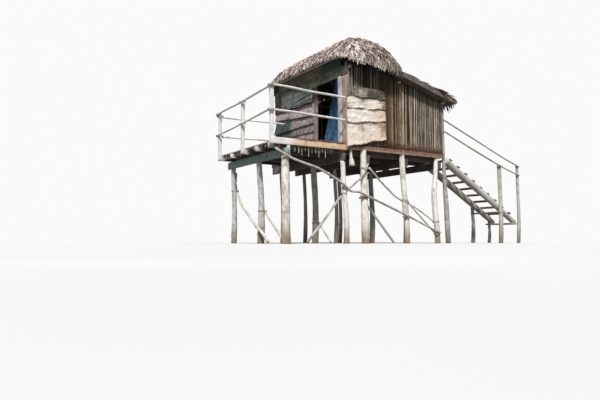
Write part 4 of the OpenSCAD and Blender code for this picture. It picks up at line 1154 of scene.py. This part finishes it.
def windowBlind():
    # Hangs over the lintel, its top rising towards the far end; one deep crease falls away from the doorway,
    # with a bulge below it, and a rolled hem runs along the foot
    low, high = np.array(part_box("window_blind"))
    u, v = np.meshgrid(np.linspace(0, 1, blind["columns"]), np.linspace(0, 1, blind["rows"]))
    y = low[1] + (high[1] - low[1]) * u
    climb = np.clip((u - 0.35) / 0.65, 0, 1)
    top = high[2] - 0.012 + blind["topRise"] * climb ** 2 * (3 - 2 * climb)
    far = np.clip((u - 0.62) / 0.38, 0, 1)
    foot = blind["hem"] + blind["hemRise"] * far ** 2 + blind["sag"] * np.sin(9 * u + 1)
    foot = foot - 0.04 * np.clip(1 - 4 * u, 0, 1)
    z = top + (foot - top) * v
    above = z - foot
    slant = 2 * np.pi * (3.1 * v - 1.2 * u + 0.25 * np.sin(5 * u))
    fold = blind["foldDepth"] * np.minimum(4 * v, 1) * (np.sin(slant) + 0.6 * np.sin(2.7 * slant + 6 * u))
    crease = z - blind["creaseTop"] + blind["creaseFall"] * (y - low[1])
    ending = np.clip((0.66 - u) / 0.25, 0, 1)
    fold = fold + blind["lowBulge"] * np.exp(-((above - 0.12 - 0.02 * np.sin(6 * u)) / 0.026) ** 2)
    bulge = blind["bulge"] * np.exp(-((crease + 0.055) / 0.032) ** 2)
    fold = fold + ending * (bulge - blind["crease"] * np.exp(-(crease / 0.014) ** 2))
    grid = np.stack([(low[0] + high[0]) / 2 - fold - 0.004, y, z], -1)
    cell = np.cross(np.diff(grid, axis=1)[:-1], np.diff(grid, axis=0)[:, :-1])
    area = float(np.linalg.norm(cell, axis=-1).sum())
    size = (float(high[1] - low[1]), area / float(high[1] - low[1]))
    # Green blind: colours darkened in part as painted shade, and painted shade over its upper part
    green = clothMaterial("greenCloth", (0.185, 0.205, 0.18), (0.035, 0.046, 0.04), 6.5, (4.5, 4.9, 0.5), 0.3)
    cloth = clothGrid("windowBlind", grid, size, green, ("window_blind",))
    hem = grid[-1][::3]
    rolls = []
    for k, (dx, dz) in enumerate(((-0.006, 0.002), (-0.010, 0.050))):
        stray = 0.008 * np.sin(hem[:, 1] * (7 + 2 * k) + k)
        rolls.append(hem + np.stack([dx + 0 * stray, 0 * stray, dz + stray], -1))
    line = np.stack(rolls)
    radius = blind["rollRadius"] * (1 + 0.18 * np.sin(line[..., 1:2] * 21)) * [[[1.0]], [[0.7]]]
    roll = buildPiece("blindRoll", roundTubes(line, *ringAxes(line), radius, 12), 0.5, green)
    print("windowBlind", round(size[0], 3), "x", round(size[1], 3), "m of cloth")


doorCurtain()
windowBlind()


# Small pieces: stick ends below the deck floor, leaf dirt on the fascia, lashings round the crossings

smallSticks = {"radius": (0.005, 0.010), "drop": (0.05, 0.26), "edgeShare": 0.6, "lean": 0.02,
               "frontCount": 84, "edgeCount": 90, "sides": 6, "rings": 5}
leafHeap = {"from": -1.50, "to": -0.05, "wide": 0.032, "tall": (0.010, 0.050), "rings": 80, "sides": 12,
            "flakes": 190, "size": (0.02, 0.05), "flakeWidth": (0.006, 0.014), "flakeThick": 0.0015}
lashing = {"turns": 4, "rope": 0.0045, "rings": 110, "sides": 6, "pitch": 0.011, "limit": 0.03,
           "squareness": 0.7, "poleSteps": 160, "railSteps": 200}


def hangingEnds():
    # Thin stick ends that hang from the floor slats behind the fascia and along the deck's outer edge
    low, high = np.array(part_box("deck_floor"))
    rng = np.random.default_rng(121)
    front, edge = smallSticks["frontCount"], smallSticks["edgeCount"]
    x = np.concatenate([rng.uniform(low[0] + 0.12, high[0] - 0.05, front),
                        rng.uniform(low[0] + 0.01, low[0] + 0.10, edge)])
    y = np.concatenate([rng.uniform(0.005, 0.06, front), rng.uniform(0.1, high[1] - 0.15, edge)])
    count = front + edge
    t = np.linspace(0, 1, smallSticks["rings"])[None]
    share = np.where(np.arange(count)[:, None] < front, 1, smallSticks["edgeShare"])
    drop = rng.uniform(*smallSticks["drop"], (count, 1)) * share
    lean = rng.normal(0, smallSticks["lean"], (count, 2, 1)) * t[:, None]
    centres = np.stack([x[:, None] + lean[:, 0], y[:, None] + lean[:, 1], low[2] + 0.01 - drop * t], -1)
    radius = rng.uniform(*smallSticks["radius"], (count, 1, 1)) * (1 - 0.3 * t[..., None])
    side, up = steady(centres, 1, 0, 0), steady(centres, 0, -1, 0)
    sticks = roundTubes(centres, side, up, radius, smallSticks["sides"])
    print("hangingEnds", count, "sticks")
    buildPiece("hangingEnds", sticks, rng.uniform(-1.2, 1, count), wood["pale_pole"])


def deckLitter():
    # A low heap of leaf crumbs on the fascia's top edge: its height = tall times noise, thinning to both ends
    rng = np.random.default_rng(131)
    low, high = np.array(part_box("front_fascia"))
    middle = (low[1] + high[1]) / 2
    t = np.linspace(0, 1, leafHeap["rings"])[None]
    x = leafHeap["from"] + (leafHeap["to"] - leafHeap["from"]) * t
    centres = np.stack([x, middle + 0.006 * np.sin(x * 11), np.full_like(x, high[2] - 0.004)], -1)
    swell = np.clip(0.5 + softNoise(centres, 0.10, 132), 0, 1) * np.clip(12 * t * (1 - t), 0, 1)
    swell = swell[..., None]
    tall = leafHeap["tall"][0] + (leafHeap["tall"][1] - leafHeap["tall"][0]) * swell
    angle = np.linspace(0, 2 * np.pi, leafHeap["sides"], endpoint=False)
    across = leafHeap["wide"] * (0.7 + 0.3 * swell) * np.cos(angle)
    along = np.where(np.sin(angle) > 0, tall * np.sin(angle), 0.003 * np.sin(angle))
    dirtAndShade, tree = newMaterial("leafDirt", 0.95, 0.1)
    dress(dirtAndShade, leafDirt(tree))
    heap = tubeSet(centres, steady(centres, 0, -1, 0), steady(centres, 0, 0, 1), across, along)
    buildPiece("leafHeap", heap, 0.5, dirtAndShade)
    count = leafHeap["flakes"]
    spot = [rng.uniform(*span, count) for span in ((leafHeap["from"] - 0.15, leafHeap["to"]), (-0.04, 0.06),
                                                   (0.004, 0.045))]
    spot = np.stack(spot, -1) + [0, middle, high[2]]
    away = unitRows(rng.normal(0, 1, (count, 3)) * np.array([1, 1, 0.5]))[:, None]
    reach = rng.uniform(*leafHeap["size"], (count, 1, 1)) * np.linspace(-0.5, 0.5, 4)[None, :, None]
    lines = spot[:, None] + away * reach
    lines[..., 2] = np.maximum(lines[..., 2] + 0.008 * np.sin(np.linspace(0, np.pi, 4)), high[2] + 0.003)
    leaf = rng.uniform(*leafHeap["flakeWidth"], (count, 1, 1)) * np.array([0.4, 1, 0.9, 0.2])[None, :, None]
    flakes = tubeSet(lines, *ringAxes(lines), leaf * np.cos(threeSided),
                     leafHeap["flakeThick"] * np.sin(threeSided) * np.ones_like(leaf))
    buildPiece("leafFlakes", flakes, 0.5, dirtAndShade, smooth=False)
    print("deckLitter", count, "flakes")


def lashings(name, spots):
    # Rope coils as rounded-square helices; a spot is (middle, axis, across, half size across, along)
    middle, axis, across, halfA, halfB = (np.array(part, float)[:, None] for part in zip(*spots))
    axis = unitRows(axis)
    across = unitRows(across - axis * (across * axis).sum(-1, keepdims=True))
    along = np.cross(axis, across)
    t = np.linspace(0, 1, lashing["rings"])[None]
    a = 2 * np.pi * lashing["turns"] * t
    c, s = (np.sign(q) * abs(q) ** lashing["squareness"] for q in (np.cos(a), np.sin(a)))
    rope = lashing["rope"]
    climb = (t - 0.5) * lashing["turns"] * lashing["pitch"]
    line = (middle + across * ((halfA + rope) * c)[..., None] + along * ((halfB + rope) * s)[..., None]
            + axis * climb[..., None])
    print(name, len(spots), "lashings")
    coils = roundTubes(line, *ringAxes(line, axis), rope, lashing["sides"])
    buildPiece(name, coils, 0.5, ropeSkin)


def railLashings():
    # Where a rail passes a square post: the coil's core holds them both
    spots = []
    rails = [smoothPath(line, lashing["railSteps"])
             for line in linesOf("side_rails", "front_rails", "back_rails")]
    for low, high in boxesOf("rail_posts"):
        middle, half = ((low + high) / 2)[:2], ((high - low) / 2)[:2]
        for line in rails:
            away = line[:, :2] - middle
            gap = (np.abs(away) - half - line[:, 3:4]).max(1)
            k = int(np.argmin(gap))
            if gap[k] < lashing["limit"]:
                more = np.maximum(np.abs(away[k]) + line[k, 3] - half, 0) / 2
                core = middle + np.sign(away[k]) * more
                spots.append(((*core, line[k, 2]), (0, 0, 1), (1, 0, 0), *(half + more)))
    lashings("railLashings", spots)


def poleLashings(name, postNodes, poleNodes):
    # Where a brace passes a stilt: the nearest points of their centre lines, tied if the gap is small
    spots = []
    posts, poles = ([smoothPath(line, lashing["poleSteps"]) for line in linesOf(*nodes)]
                    for nodes in (postNodes, poleNodes))
    for post in posts:
        for pole in poles:
            apart = pole[None, :, :3] - post[:, None, :3]
            far = np.linalg.norm(apart, axis=-1)
            i, j = np.unravel_index(np.argmin(far), far.shape)
            radii = post[i, 3], pole[j, 3]
            if far[i, j] < sum(radii) + lashing["limit"]:
                across = apart[i, j] * [1, 1, 0]
                middle = post[i, :3] + unitRows(across) * pole[j, 3]
                spots.append((middle, (0, 0, 1), across, sum(radii), max(radii)))
    lashings(name, spots)


ropeSkin = weatheredWood("ropeSkin", (0.66, 0.60, 0.51), (0.47, 0.41, 0.34), (0.22, 0.18, 0.14), grain=3.0)
deckLitter()
hangingEnds()
poleLashings("braceLashings", ("corner_stilt", "front_stilts", "end_stilt", "deck_stilts", "inner_stilts"),
             ("long_brace", "forked_brace", "front_braces", "deck_braces"))
poleLashings("gangwayLashings", ("gangway_posts",), ("gangway_rails", "gangway_crossbars"))
railLashings()


# Camera, floor and light

cameraSettings = {"place": (-9.58, -13.20, 0.10), "heading": 31.4, "pitch": math.degrees(math.atan(40 / 583)),
                  "lens": 35.0, "sensor": 36.0}
lightSettings = {"sunStrength": 3.2, "sunSize": 7, "sunFrom": (-0.42, -0.53, 0.74), "skyStrength": 0.40,
                 "skyColour": (0.98, 0.99, 1.0, 1), "seenStrength": 0.96}
floorSettings = {"halfSize": 120, "reflected": (0.16, 0.16, 0.16)}


def addCamera():
    data = bpy.data.cameras.new("photoCamera")
    data.lens, data.sensor_width, data.clip_end = cameraSettings["lens"], cameraSettings["sensor"], 200
    camera = addObject("photoCamera", data)
    camera.location = cameraSettings["place"]
    pitch, heading = math.radians(90 + cameraSettings["pitch"]), math.radians(cameraSettings["heading"])
    camera.rotation_euler = (pitch, 0, -heading)
    bpy.context.scene.camera = camera


def seenRays(tree):
    # 1 for rays from the camera, from gloss and through glass, 0 for the light that surfaces give each other
    rays = put(tree, "LightPath").outputs
    seen = calc(tree, "MAXIMUM", rays["Is Camera Ray"], rays["Is Glossy Ray"])
    return calc(tree, "MAXIMUM", seen, rays["Is Transmission Ray"])


def addFloor():
    material, tree = newMaterial("paleFloor", 0.9, 0.1)
    pale = ramp(tree, blotches(tree, 0.6, 3, 0.5), [(0.3, (0.80, 0.80, 0.79)), (0.7, (0.84, 0.84, 0.83))])
    dress(material, mixColour(tree, seenRays(tree), floorSettings["reflected"], pale))  # Dim as a reflector
    size = floorSettings["halfSize"]
    mesh = bpy.data.meshes.new("floor")
    corners = [(-size, -size, 0), (size, -size, 0), (size, size, 0), (-size, size, 0)]
    mesh.from_pydata(corners, [], [(0, 1, 2, 3)])
    floor = addObject("floor", mesh)
    mesh.materials.append(material)


def addLight():
    sun = bpy.data.lights.new("keyLight", "SUN")
    sun.energy, sun.angle = lightSettings["sunStrength"], math.radians(lightSettings["sunSize"])
    lamp = addObject("keyLight", sun)
    x, y, z = lightSettings["sunFrom"]
    lamp.rotation_euler = (0, math.atan2(math.hypot(x, y), z), math.atan2(y, x))
    world = bpy.data.worlds.new("studio")
    bpy.context.scene.world = world
    world.use_nodes = True
    tree = world.node_tree
    ground = tree.nodes["Background"]
    ground.inputs["Color"].default_value = lightSettings["skyColour"]
    ground.inputs["Strength"].default_value = lightSettings["skyStrength"]
    white = put(tree, "Background", Color=(1, 1, 1, 1), Strength=lightSettings["seenStrength"])
    mixed = put(tree, "MixShader", in0=seenRays(tree), in1=ground.outputs[0], in2=white.outputs[0])
    tree.links.new(mixed.outputs[0], tree.nodes["World Output"].inputs["Surface"])


addCamera()
addFloor()
addLight()
bpy.context.scene.view_settings.view_transform = "Standard"
print("camera, floor and light in place")
